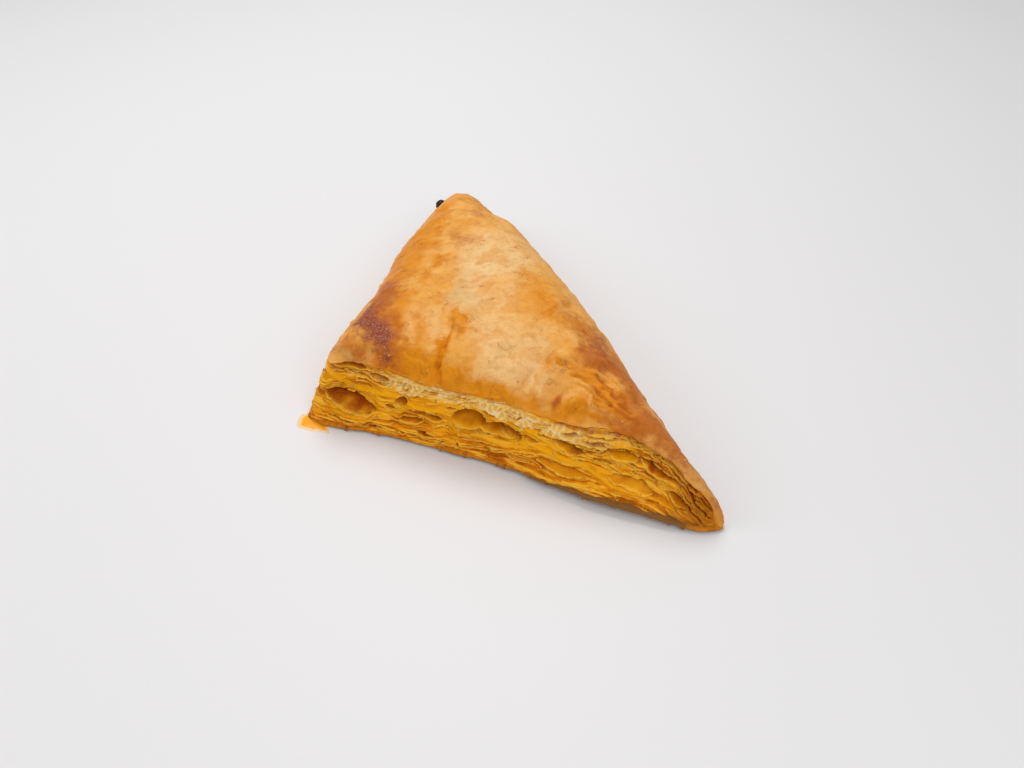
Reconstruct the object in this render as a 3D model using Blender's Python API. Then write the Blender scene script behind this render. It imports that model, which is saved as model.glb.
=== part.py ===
"""A baked vegetable puff: a square of laminated puff pastry folded corner to corner over its filling.

The puff lies on its flat base. One cut edge of the folded square runs along +X at the front, the other
runs along +Y on the left, and the rounded fold closes the long side at the back right. The two cut edges
have opened in the oven, so their layers show as ledges with pockets between them. It is one solid piece.

The side is lofted between two closed borders: the edge of the base, and the rim where the top crust begins.
"""

import math
import random

import bmesh
import bpy
import numpy as np
from mathutils import Vector
from mathutils.geometry import delaunay_2d_cdt

MM = 0.001

# Driving dimensions, in millimetres from the square corner: (x, y, height) where each border bends.
# The border of the base, counter-clockwise: the front cut edge, the fold, then the left cut edge.
BASE_FRONT = [(0, 0, 0.3), (6, -0.6, 0.4), (28, 2.2, 0.8), (54, 2.9, 0.9), (68, 2.4, 1.4), (80, -0.4, 2.4),
              (96, -1.8, 2.8), (112, -1.8, 2.2), (123, -0.8, 0.8)]
BASE_FOLD = [(129.8, 3.2, 0.5), (123.4, 7.0, 1.0), (110, 13.2, 1.2), (96, 24.4, 1.2), (82, 37.2, 1.0),
             (66, 53.2, 1.0), (49.2, 70, 1.0), (32.8, 87, 1.0), (21, 97.8, 1.2), (13, 107.6, 1.4)]
BASE_LEFT = [(5.5, 116.5, 1.2), (-2.6, 119, 1.0), (-7.2, 115, 1.0), (-7.4, 100, 1.0), (-6, 76, 1.0),
             (-2.8, 45, 0.8), (-1, 18, 0.6), (-0.8, 4, 0.4)]
# The rim of the top crust, in the same order.
RIM_FRONT = [(6.8, 6.8, 20.4), (14, 8.8, 21.2), (24, 8.4, 21.6), (38, 7.4, 21.6), (52, 7.2, 22.4),
             (64, 7.8, 22.6), (74, 7.4, 21.4), (86, 7.4, 21.2), (97, 9.4, 21.8), (106, 9.0, 20.2),
             (113, 7.6, 17.6), (119, 5.4, 13.6), (124.6, 5.0, 9)]
RIM_FOLD = [(126.6, 6.6, 6.5), (121, 9.2, 11), (113, 13, 15.4), (105.2, 20, 18.5), (97, 27.2, 20.5),
            (84.2, 41.2, 22.5), (64.2, 62.2, 23.5), (44.6, 81.6, 22.5), (29.6, 97.6, 20.5),
            (19.4, 105.4, 17.5), (12, 113, 16)]
RIM_LEFT = [(4.4, 118.4, 15.5), (-2, 117.4, 15.2), (-4.2, 111, 16.5), (-3.8, 101, 18), (-3, 86, 18.5),
            (-1.4, 70, 19), (1, 56, 19.5), (3.4, 42, 20), (3.8, 28, 20), (4.6, 16, 20.2)]
# The edge of the flat foot that the puff rests on, inside the lifted border of the base.
FOOT_FRONT = [(5, 5, 0), (28, 8, 0), (54, 9, 0), (78, 6.5, 0), (98, 3.8, 0), (111, 2.6, 0)]
FOOT_FOLD = [(116, 4.6, 0), (108, 10, 0), (93, 21, 0), (78, 35.5, 0), (45, 68, 0), (14, 99, 0)]
FOOT_LEFT = [(5, 108, 0), (-0.5, 108, 0), (-2, 96, 0), (-0.5, 76, 0), (1.5, 45, 0), (3.4, 18, 0)]
# The top crust is blown up between its rims: how far it rises, and how far in it takes to rise.
CROWN_RISE = 11.5
CROWN_REACH = 8.0
# The fold's side stands out like a bolster. A low fullness keeps that up to near the two tips.
FOLD_BULGE = 5.0
FOLD_FULLNESS = 0.4
# Shares of a cut edge over which its relief dies out, at the fold and at the square corner.
FOLD_END_SHARE = 0.1
CORNER_SHARE = 0.03

# The two crusts at a cut edge: their thickness as shares of its height, and how far they overhang.
TOP_CRUST_SHARE = 0.11
BASE_CRUST_SHARE = 0.1
CRUST_OVERHANG = 0.8
# The layers between them.
LAYERS = 5
LAYER_LEDGE = 0.6
# How far the layers wander up and down, in radians of their spacing, and over which lengths.
LAYER_WANDER = ((0.9, 69), (0.45, 30))

# Pockets between the layers of the front edge, in millimetres and shares of the edge's height:
# (place along the edge, share of its height, half-length, half-height share, depth).
FRONT_POCKETS = [
    (9.5, 0.46, 8.5, 0.17, 3.4), (18.4, 0.82, 3.2, 0.09, 1.6), (24, 0.22, 4.0, 0.08, 1.6),
    (28, 0.56, 2.6, 0.11, 2.0), (33, 0.35, 4.0, 0.09, 2.0), (39.7, 0.47, 3.4, 0.10, 2.2),
    (50.2, 0.60, 5.8, 0.15, 3.4), (59.8, 0.55, 5.0, 0.14, 3.2), (70, 0.55, 2.6, 0.10, 1.8),
    (75, 0.68, 3.0, 0.09, 1.8), (82.3, 0.65, 4.2, 0.12, 2.6), (80.7, 0.31, 9.0, 0.12, 1.8),
    (97.7, 0.71, 4.6, 0.11, 2.4), (102, 0.33, 7.2, 0.13, 1.6), (109, 0.67, 4.8, 0.12, 2.6),
    (117, 0.47, 4.0, 0.15, 2.2),
]
# Pockets of the left edge: their number, the heights they lie at, and the range of each of their sizes.
LEFT_POCKETS = 13
LEFT_POCKET_SHARES = (0.52, 0.3, 0.7)
LEFT_POCKET_HALF_LENGTH = (3.5, 8.0)
LEFT_POCKET_HALF_HEIGHT = (0.1, 0.15)
LEFT_POCKET_DEPTH = (1.4, 2.8)
LEFT_POCKET_SEED = 7

# Relief of the top crust, in millimetres. Creases are (x, y, x, y, half-width, depth) and dents are
# (x, y, radius, depth). A negative depth is a ridge or a swelling.
CRUST_CREASES = [
    (35.4, 30, 42, 8, 1.6, 0.9), (38.4, 30, 45, 9, 2.4, -0.7), (27.4, 73, 36, 38, 4.0, 0.9),
    (76, 21, 90, 26, 2.0, 0.9), (80, 16.5, 94, 22, 1.8, 0.8), (78, 12, 99, 18.5, 1.6, 0.8),
    (73, 26, 67, 11, 2.0, 0.6), (90, 33, 101, 27, 3.0, 1.0), (16, 98, 4, 92, 3.5, 0.8),
]
CRUST_DENTS = [
    (59.7, 18, 3.5, 0.9), (26.7, 44, 3.0, 0.8), (14, 70, 10, 0.7), (18, 24, 9, -0.8), (62, 40, 12, -0.8),
]
# A scorched bead of filling that has boiled out and set on the left cut edge.
BEAD_PLACE = (-5, 110.8, 15)
BEAD_RADIUS = 2.8
BEAD_STANDS_OUT = 2.4
BEAD_DIRECTION = (-1.0, 0.3, 0.4)

# Mesh density.
SIDE_STEPS = (84, 44, 58)
WALL_ROWS = 16
RIM_PARTS = 6
SKIN_STEP = 2.9
SKIN_CLEARANCE = 0.55

PASTRY_COLOUR = (0.80, 0.47, 0.14, 1.0)
PASTRY_ROUGHNESS = 0.55


def smooth(low, high, x):
    """Runs from 0 below low to 1 above high, eased at both ends."""
    t = np.clip((x - low) / (high - low), 0.0, 1.0)
    return t * t * (3.0 - 2.0 * t)


def spline(knots, steps):
    """Points along a closed smooth curve through the knots, with the same steps between any two knots."""
    before, after, beyond = (np.roll(knots, shift, axis=0) for shift in (1, -1, -2))
    t = np.linspace(0.0, 1.0, steps, endpoint=False)[:, None, None]
    curve = 0.5 * (
        2 * knots
        + (after - before) * t
        + (2 * before - 5 * knots + 4 * after - beyond) * t**2
        + (3 * knots - before - 3 * after + beyond) * t**3
    )
    return curve.transpose(1, 0, 2).reshape(-1, knots.shape[1])


def resample(path, steps):
    """The same path in equal steps, without its last point."""
    along = np.concatenate([[0.0], np.cumsum(np.linalg.norm(np.diff(path, axis=0), axis=1))])
    wanted = np.linspace(0.0, along[-1], steps, endpoint=False)
    return np.stack([np.interp(wanted, along, axis) for axis in path.T], axis=1)


def border(sides):
    """A closed border with SIDE_STEPS points on its three sides."""
    fine = 24
    curve = spline(np.array(sum(sides, []), float), fine)
    looped = np.vstack([curve, curve[:1]])
    starts = np.cumsum([0] + [len(side) for side in sides]) * fine
    return np.vstack([resample(looped[a : b + 1], n) for a, b, n in zip(starts, starts[1:], SIDE_STEPS)])


def outward_of(path):
    """Level unit vectors that point out of a closed counter-clockwise border."""
    ahead = np.roll(path, -1, axis=0) - np.roll(path, 1, axis=0)
    out = np.stack([ahead[:, 1], -ahead[:, 0], 0 * ahead[:, 0]], axis=1)
    return out / np.linalg.norm(out, axis=1)[:, None]


def left_pockets(length):
    """Pockets of uneven size, spread along the left edge in three storeys."""
    draw = random.Random(LEFT_POCKET_SEED)
    spacing = length / LEFT_POCKETS
    return [
        (
            spacing * (k + draw.uniform(0.3, 0.7)),
            LEFT_POCKET_SHARES[k % 3] + draw.uniform(-0.05, 0.05),
            draw.uniform(*LEFT_POCKET_HALF_LENGTH),
            draw.uniform(*LEFT_POCKET_HALF_HEIGHT),
            draw.uniform(*LEFT_POCKET_DEPTH),
        )
        for k in range(LEFT_POCKETS)
    ]


def pocket_depth(pockets, along, v):
    """How deep the pockets reach at each place along a cut edge, at the share v of its height."""
    depth = np.zeros_like(along)
    for place, share, half_length, half_height, deepest in pockets:
        far = ((along - place) / half_length) ** 2 + ((v - share) / half_height) ** 2
        depth = np.maximum(depth, deepest * np.sqrt(np.clip(1.0 - far, 0.0, 1.0)))
    return depth


def cut_relief(along, pockets, v):
    """How far a cut edge stands out at the share v of its height: its crusts, ledges and pockets."""
    crusts = max(smooth(1.0 - TOP_CRUST_SHARE, 1.0 - TOP_CRUST_SHARE / 3, v),
                 1.0 - smooth(BASE_CRUST_SHARE / 2, BASE_CRUST_SHARE, v))
    wander = sum(sway * np.sin(2 * math.pi * along / length) for sway, length in LAYER_WANDER)
    ledges = LAYER_LEDGE * np.cos(2 * math.pi * LAYERS * v + wander)
    return CRUST_OVERHANG * crusts + (1.0 - crusts) * (ledges - pocket_depth(pockets, along, v))


def crease_relief(spot):
    """Height that the creases and dents add to the top crust at each plan point."""
    height = np.zeros(len(spot))
    for x0, y0, x1, y1, half_width, depth in CRUST_CREASES:
        start, run = np.array((x0, y0)), np.array((x1 - x0, y1 - y0))
        share = np.clip((spot - start) @ run / (run @ run), 0.0, 1.0)
        distance = np.linalg.norm(spot - start - share[:, None] * run, axis=1)
        height -= depth * np.exp(-((distance / half_width) ** 2))
    for x, y, radius, depth in CRUST_DENTS:
        distance = np.linalg.norm(spot - (x, y), axis=1)
        height -= depth * np.exp(-((distance / radius) ** 2))
    return height


def densify(loop, parts):
    """The same closed loop with each of its steps cut into equal parts."""
    share = np.linspace(0.0, 1.0, parts, endpoint=False)[:, None, None]
    after = np.roll(loop, -1, axis=0)
    return (loop + (after - loop) * share).transpose(1, 0, 2).reshape(-1, 3)


def crown(spot, rim):
    """Distance to the rim, and height of the top crust blown up from a dense rim, at each plan point.

    Each bit of the rim weighs as the inverse cube of its distance, so near a straight rim the sum of the
    weights is 2 / distance squared. That gives a distance to the rim that has no ridge anywhere inside.
    """
    step = np.linalg.norm(np.roll(rim, -1, axis=0) - rim, axis=1)
    apart = np.linalg.norm(spot[:, None, :] - rim[None, :, :2], axis=2)
    weight = step / apart**3
    total = weight.sum(axis=1)
    to_rim = np.sqrt(2.0 / total)
    blown = CROWN_RISE * (1.0 - np.exp(-to_rim / CROWN_REACH))
    return to_rim, weight @ rim[:, 2] / total + blown + crease_relief(spot)


def inside(loop, spots):
    """Tells which plan points lie inside a closed loop, by the edges that a ray along +X crosses."""
    x, y = spots[:, 0, None], spots[:, 1, None]
    x0, y0 = loop[:, 0], loop[:, 1]
    x1, y1 = np.roll(x0, -1), np.roll(y0, -1)
    spans = (y0 > y) != (y1 > y)
    crossing = x0 + (y - y0) * (x1 - x0) / np.where(spans, y1 - y0, 1.0)
    return (spans & (x < crossing)).sum(axis=1) % 2 == 1


def skin_points(rim_row, rim):
    """Points of the top crust on an even triangular grid inside its rim."""
    low, high = rim_row.min(axis=0), rim_row.max(axis=0)
    across = np.arange(low[0], high[0], SKIN_STEP)
    lines = np.arange(low[1], high[1], SKIN_STEP * math.sin(math.pi / 3))
    spots = np.array([(x + SKIN_STEP / 2 * (k % 2), y) for k, y in enumerate(lines) for x in across])
    spots = spots[inside(rim_row, spots)]
    to_rim, height = crown(spots, rim)
    return np.column_stack([spots, height])[to_rim > SKIN_CLEARANCE * SKIN_STEP]


def with_bead(row):
    """The same row with the scorched bead standing out of it."""
    nearness = 1.0 - np.linalg.norm(row - BEAD_PLACE, axis=1) / BEAD_RADIUS
    out = BEAD_STANDS_OUT * np.sqrt(np.clip(nearness, 0.0, 1.0))
    return row + np.outer(out, BEAD_DIRECTION)


def wall_rows():
    """The rows round the side of the puff, from the border of the base up to the rim."""
    base = border([BASE_FRONT, BASE_FOLD, BASE_LEFT])
    rim = border([RIM_FRONT, RIM_FOLD, RIM_LEFT])
    outward = outward_of(0.5 * (base + rim))
    side = np.repeat([0, 1, 2], SIDE_STEPS)
    fraction = np.concatenate([np.arange(n) / n for n in SIDE_STEPS])
    front_length, left_length = (np.linalg.norm(base[side == s][-1] - base[side == s][0]) for s in (0, 2))
    pockets = left_pockets(left_length)
    # The relief of the cut edges dies out where they meet the fold, and at the square corner.
    front_shows = smooth(0.0, CORNER_SHARE, fraction) * (1.0 - smooth(1.0 - FOLD_END_SHARE, 0.98, fraction))
    left_shows = smooth(0.02, FOLD_END_SHARE, fraction) * (1.0 - smooth(1.0 - CORNER_SHARE, 1.0, fraction))
    folded = np.sin(math.pi * fraction) ** FOLD_FULLNESS

    rows = []
    for v in np.linspace(0.0, 1.0, WALL_ROWS + 1):
        front = cut_relief(fraction * front_length, FRONT_POCKETS, v) * front_shows
        fold = FOLD_BULGE * folded * math.sin(math.pi * v)
        left = cut_relief(fraction * left_length, pockets, v) * left_shows
        out = np.choose(side, [front, fold, left])
        rows.append(with_bead(base + (rim - base) * v + outward * out[:, None]))
    return rows


def add_ring(mesh, row):
    return [mesh.verts.new(point * MM) for point in row]


def stitch(mesh, lower, upper):
    """Joins two rings of the same count with quads, seen from outside with the upper ring above."""
    for k in range(len(lower)):
        n = (k + 1) % len(lower)
        mesh.faces.new((lower[k], lower[n], upper[n], upper[k]))


def add_top(mesh, ring, rim_row):
    """Closes the top with a skin of even triangles that joins the rim."""
    points = skin_points(rim_row, densify(rim_row, RIM_PARTS))
    corners = ring + add_ring(mesh, points)
    plan = [Vector(point[:2]) for point in np.vstack([rim_row, points])]
    edge = list(range(len(ring)))
    _, _, faces, sources, _, _ = delaunay_2d_cdt(plan, [], [edge], 1, 0.0)
    for face in faces:
        mesh.faces.new([corners[sources[index][0]] for index in face])


def add_underside(mesh, ring):
    """Closes the bottom with a band that comes down to the flat foot, and the foot's own face."""
    foot = add_ring(mesh, border([FOOT_FRONT, FOOT_FOLD, FOOT_LEFT]))
    stitch(mesh, foot, ring)
    mesh.faces.new(list(reversed(foot)))


def centre_on_base(mesh):
    """Moves the puff so that the middle of its box, at the height of its base, is the origin."""
    spots = np.array([vertex.co[:] for vertex in mesh.verts])
    middle = (spots.min(axis=0) + spots.max(axis=0)) / 2
    bmesh.ops.translate(mesh, verts=mesh.verts[:], vec=(-middle[0], -middle[1], -spots[:, 2].min()))


def build_puff():
    rows = wall_rows()
    mesh = bmesh.new()
    rings = [add_ring(mesh, row) for row in rows]
    for lower, upper in zip(rings, rings[1:]):
        stitch(mesh, lower, upper)
    add_top(mesh, rings[-1], rows[-1])
    add_underside(mesh, rings[0])
    centre_on_base(mesh)

    data = bpy.data.meshes.new("vegetable_puff")
    mesh.to_mesh(data)
    mesh.free()
    data.shade_smooth()
    return data


def pastry_material():
    material = bpy.data.materials.new("baked_pastry")
    material.use_nodes = True
    shader = material.node_tree.nodes["Principled BSDF"]
    shader.inputs["Base Color"].default_value = PASTRY_COLOUR
    shader.inputs["Roughness"].default_value = PASTRY_ROUGHNESS
    shader.inputs["Metallic"].default_value = 0.0
    return material


def main():
    for thing in list(bpy.data.objects):
        bpy.data.objects.remove(thing)
    puff = bpy.data.objects.new("vegetable_puff", build_puff())
    puff.data.materials.append(pastry_material())
    bpy.context.scene.collection.objects.link(puff)


main()
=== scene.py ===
"""Looks of a baked vegetable puff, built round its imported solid: top crust, opened layers, base and crumbs.

All sizes are in millimetres from the pastry's square corner, with +X along the front cut edge and +Y along
the left one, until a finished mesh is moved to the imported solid's place and turned to metres.
"""

import itertools
import math
import random

import bmesh
import bpy
import numpy as np
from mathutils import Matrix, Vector


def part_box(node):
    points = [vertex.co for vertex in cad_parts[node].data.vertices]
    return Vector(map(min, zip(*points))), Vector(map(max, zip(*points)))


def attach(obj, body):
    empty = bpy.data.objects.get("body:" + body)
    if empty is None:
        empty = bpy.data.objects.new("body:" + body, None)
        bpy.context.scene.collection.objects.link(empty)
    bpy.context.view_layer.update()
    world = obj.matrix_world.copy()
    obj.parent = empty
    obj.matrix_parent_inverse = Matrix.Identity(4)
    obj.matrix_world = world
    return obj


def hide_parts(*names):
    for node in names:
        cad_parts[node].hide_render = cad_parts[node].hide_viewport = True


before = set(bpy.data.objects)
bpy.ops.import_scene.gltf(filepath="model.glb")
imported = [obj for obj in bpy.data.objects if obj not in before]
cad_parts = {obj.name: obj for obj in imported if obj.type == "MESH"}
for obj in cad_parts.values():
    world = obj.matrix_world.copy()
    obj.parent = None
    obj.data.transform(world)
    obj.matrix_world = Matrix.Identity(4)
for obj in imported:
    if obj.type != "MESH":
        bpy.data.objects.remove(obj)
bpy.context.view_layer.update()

MM = 0.001
NODE = "vegetable_puff"
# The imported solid's low corner, measured from the square corner as everything below is.
LOW_CORNER = np.array((-8.478, -2.753, 0.0))
SHIFT = np.array(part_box(NODE)[0]) / MM - LOW_CORNER

# Where the border of the base bends, and the rim where the top crust begins: front, fold, left.
BASE = [
    [(0, 0, 0.3), (6, -0.6, 0.4), (28, 2.2, 0.8), (54, 2.9, 0.9), (68, 2.4, 1.4), (80, -0.4, 2.4),
     (96, -1.8, 2.8), (112, -1.8, 2.2), (123, -0.8, 0.8)],
    [(129.8, 3.2, 0.5), (123.4, 7.0, 1.0), (110, 13.2, 1.2), (96, 24.4, 1.2), (82, 37.2, 1.0),
     (66, 53.2, 1.0), (49.2, 70, 1.0), (32.8, 87, 1.0), (21, 97.8, 1.2), (13, 107.6, 1.4)],
    [(5.5, 116.5, 1.2), (-2.6, 119, 1.0), (-7.2, 115, 1.0), (-7.4, 100, 1.0), (-6, 76, 1.0),
     (-2.8, 45, 0.8), (-1, 18, 0.6), (-0.8, 4, 0.4)],
]
RIM = [
    [(6.8, 6.8, 20.4), (14, 8.8, 21.2), (24, 8.4, 21.6), (38, 7.4, 21.6), (52, 7.2, 22.4),
     (64, 7.8, 22.6), (74, 7.4, 21.4), (86, 7.4, 21.2), (97, 9.4, 21.8), (106, 9.0, 20.2),
     (113, 7.6, 17.6), (119, 5.4, 13.6), (124.6, 5.0, 9)],
    [(126.6, 6.6, 6.5), (121, 9.2, 11), (113, 13, 15.4), (105.2, 20, 18.5), (97, 27.2, 20.5),
     (84.2, 41.2, 22.5), (64.2, 62.2, 23.5), (44.6, 81.6, 22.5), (29.6, 97.6, 20.5),
     (19.4, 105.4, 17.5), (12, 113, 16)],
    [(4.4, 118.4, 15.5), (-2, 117.4, 15.2), (-4.2, 111, 16.5), (-3.8, 101, 18), (-3, 86, 18.5),
     (-1.4, 70, 19), (1, 56, 19.5), (3.4, 42, 20), (3.8, 28, 20), (4.6, 16, 20.2)],
]
FOOT = [
    [(5, 5, 0), (28, 8, 0), (54, 9, 0), (78, 6.5, 0), (98, 3.8, 0), (111, 2.6, 0)],
    [(116, 4.6, 0), (108, 10, 0), (93, 21, 0), (78, 35.5, 0), (45, 68, 0), (14, 99, 0)],
    [(5, 108, 0), (-0.5, 108, 0), (-2, 96, 0), (-0.5, 76, 0), (1.5, 45, 0), (3.4, 18, 0)],
]
# The blown-up top crust and the bolster of the fold, as in the solid.
CROWN_RISE = 11.5
CROWN_REACH = 8.0
FOLD_BULGE = 5.0
FOLD_FULLNESS = 0.4

# The lip where the top crust ends over a cut edge: how far it stands out at most and at the rim, how
# much of the edge's height it covers, and how far its underside runs back in.
LIP_OUT = 0.9
LIP_START = 0.6 * LIP_OUT
LIP_SHARE = 0.030
LIP_TUCK = 4.0
# The crown rolls over into the lip within about this far, by so many rounds of smoothing.
SEAM_REACH = 1.8
SEAM_ROUNDS = 8

# Mesh density: steps along each side of the crust, columns and rows of the opened layers, rows of the skirt.
CRUST_STEPS = 280
SKIRT_ROWS = 44
FRONT_COLUMNS = 620
FOLD_COLUMNS = 280
LEFT_COLUMNS = 360
LAYER_ROWS = 150
RIM_PARTS = 3

# Creases of the crust in plan: (x, y, x, y, half-width, depth); a negative depth is a ridge.
CRUST_CREASES = [
    (35.4, 30, 42, 8, 1.6, 0.9), (38.4, 30, 45, 9, 2.4, -0.7), (27.4, 73, 36, 38, 4.0, 0.9),
    (76, 21, 90, 26, 2.0, 0.9), (80, 16.5, 94, 22, 1.8, 0.8), (78, 12, 99, 18.5, 1.6, 0.8),
    (73, 26, 67, 11, 2.0, 0.6), (90, 33, 101, 27, 3.0, 1.0), (16, 98, 4, 92, 3.5, 0.8),
]
# Dents of the crust: (x, y, radius, depth).
CRUST_DENTS = [
    (59.7, 18, 3.5, 0.9), (26.7, 44, 3.0, 0.8), (14, 70, 10, 0.7), (18, 24, 9, -0.8), (62, 40, 12, -0.8),
]
# Sharp small creases: the main crack, flake edges, the crescent at the dent, the grooves at the waist.
CRUST_LINES = [
    (40.5, 28, 39.8, 22, 0.45, 0.5), (39.8, 22, 40.2, 16, 0.5, 0.8), (40.2, 16, 40.6, 11, 0.5, 1.0),
    (40.6, 11, 42.4, 7.4, 0.6, 1.1), (73, 26, 71, 19, 0.5, 0.45), (71, 19, 67, 11, 0.5, 0.45),
    (57.2, 15.4, 58.6, 17.0, 0.5, 0.5), (58.6, 17.0, 61.0, 17.2, 0.5, 0.5),
    (61.0, 17.2, 63.0, 15.8, 0.5, 0.4), (28.0, 38.4, 30.6, 36.2, 0.7, 0.4),
    (30.6, 36.2, 34.0, 33.8, 0.8, 0.4), (27.8, 41.4, 30.2, 40.2, 0.5, 0.4), (76, 21.4, 88, 20.2, 0.7, 0.9),
    (88, 20.2, 96, 17.0, 0.7, 0.8), (80, 18.2, 89, 17.4, 0.7, 0.9), (89, 17.4, 97, 14.6, 0.7, 0.8),
    (81, 15.4, 90, 14.8, 0.7, 0.9), (90, 14.8, 99, 12.2, 0.7, 0.8), (84, 12.8, 93, 12.4, 0.6, 0.7),
    (93, 12.4, 101, 10.4, 0.6, 0.6), (86, 24, 91, 21.8, 0.8, 0.6), (27, 15.6, 31, 11.4, 0.5, 0.3),
    (31, 11.4, 37, 10.4, 0.5, 0.3), (50, 29, 58, 27.5, 0.5, 0.25), (69.5, 47, 66, 40, 1.4, 0.5),
    (71, 33, 76, 30, 0.5, 0.3), (33, 57, 37, 54, 0.7, 0.3), (14, 98.5, 2.5, 93.5, 1.0, 0.6),
    (20, 76, 14, 70, 1.2, 0.4), (15, 10.6, 25, 9.4, 0.5, 0.5),
]

# Colour of the crust in plan: (x, y, x, y, half-width, strength) of each streak or patch.
PALE_PATCHES = [
    (27, 72, 34, 56, 7, 1.0), (34, 56, 38, 36, 6, 1.0), (42, 70, 46, 58, 9, 0.8), (52, 26, 58, 14, 9, 0.75),
    (66, 22, 70, 14, 6, 0.7), (78, 15, 92, 13, 4, 0.25), (36, 20, 30, 26, 4, 0.4), (50, 44, 46, 34, 5, 0.5),
    (24, 22, 30, 18, 4, 0.3), (30, 84, 36, 80, 6, 0.5), (60, 32, 66, 34, 4, 0.3),
]
ORANGE_PATCHES = [
    (2, 96, 6, 84, 5, 0.8), (3, 74, 5, 58, 7, 1.0), (5, 58, 9, 44, 5, 1.0), (9, 44, 16, 32, 3, 0.9),
    (15, 52, 14, 44, 3, 0.5), (20, 57, 22, 42, 2.6, 0.6), (41.5, 26, 43.5, 20, 2.2, 0.75),
    (38.4, 28, 40.4, 9, 1.1, 1.0), (20, 34, 22, 20, 3.0, 0.7), (24, 14, 34, 12, 2.6, 0.6),
    (12, 66, 14, 58, 4, 0.5), (29, 22, 36, 11, 3.5, 0.6), (25, 9.0, 40, 8.6, 4.2, 1.0),
    (42, 7.0, 62, 6.6, 3.2, 1.0), (62, 6.6, 84, 6.8, 3.0, 0.8), (30, 35, 32, 31, 2.0, 0.6),
    (50, 57, 56, 52, 4, 0.45), (54, 46, 62, 42, 4, 0.45), (70, 10, 72, 20, 1.6, 0.5),
    (82, 9.4, 100, 8.4, 1.6, 0.7), (24, 30, 22, 18, 2.0, 0.4), (52, 28, 54, 25, 2, 0.4),
    (8, 108, 4, 102, 3, 0.4), (18, 92, 24, 84, 4, 0.3), (79, 20.4, 96, 17, 1.0, 0.9),
    (80, 17.6, 97, 14.8, 0.9, 0.9), (81, 14.8, 98, 12.2, 0.9, 0.8), (72, 30, 78, 26, 1.6, 0.6),
    (60, 46, 66, 38, 4, 0.5), (74, 22, 80, 20.6, 1.2, 0.6), (84, 21, 98, 13, 4.5, 0.5),
]
BROWN_PATCHES = [
    (16, 74, 24, 70, 4.0, 0.55), (20, 68, 21, 66, 2.5, 0.3), (66, 48, 70, 40, 4.5, 0.45),
    (77, 38, 84, 30, 6.0, 0.75), (83, 27, 92, 27, 4.0, 0.75), (92, 33, 97, 22, 4.0, 0.75),
    (97, 20, 104, 13, 3.6, 0.75), (100, 10, 112, 11, 4.5, 0.8), (114, 8, 124, 6, 4, 0.45),
    (70, 56, 88, 36, 4, 0.25), (10, 116, 20, 106, 5, 0.35), (15, 96, 19, 88, 3, 0.35),
    (9, 40, 12, 34, 3.4, 1.0), (12, 36, 14, 24, 5.6, 1.0), (90, 11, 100, 10, 2.0, 0.5),
    (103, 26, 118, 13, 4, 0.5), (15, 22, 22, 13, 6.0, 0.7), (0, 116, 10, 110, 5, 0.3),
    (12, 108, 20, 92, 5, 0.35), (4, 13, 13, 10, 3.0, 0.5), (16, 20, 24, 12, 5.0, 0.45),
    (78.4, 9.4, 78.8, 9, 1.1, 1.0), (3, 119, -2, 116, 3, 0.25), (5, 9, 16, 8, 2.6, 0.5),
    (75.4, 38.6, 75.8, 38.2, 0.8, 0.8), (86, 20.4, 97, 15.8, 1.0, 0.85), (85, 16.8, 98, 13.0, 0.9, 0.85),
    (28, 38, 30, 37, 0.9, 0.4), (86, 9, 96, 8.4, 1.2, 0.5),
]
BURNT_PATCHES = [
    (10.5, 28, 12, 21, 2.8, 0.9), (12.5, 21, 18, 14.5, 3.8, 1.0), (18, 14.5, 25, 10.6, 2.0, 0.75),
    (80, 36, 87, 27, 4.2, 0.40), (112, 9, 118, 8, 1.6, 0.3),
]
# Old fat and flour leave the skin of the valley in the middle dull and greyish green.
DULL_PATCHES = [
    (29, 50, 36, 38, 3.0, 0.6), (36, 38, 44, 30, 3.5, 0.6), (58, 20, 66, 26, 4.0, 0.45),
    (38, 68, 40, 60, 3.0, 0.3), (72, 18, 78, 22, 2.5, 0.3), (8, 8, 14, 7.4, 1.4, 0.9),
    (106, 12, 122, 7, 4.0, 0.6),
]
CRUST_PATCHES = {
    "pale": PALE_PATCHES,
    "orange": ORANGE_PATCHES,
    "brown": BROWN_PATCHES,
    "burnt": BURNT_PATCHES,
    "dull": DULL_PATCHES,
}
BLISTER_SIZE = 0.75
BLISTER_HEIGHT = 0.16

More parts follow.
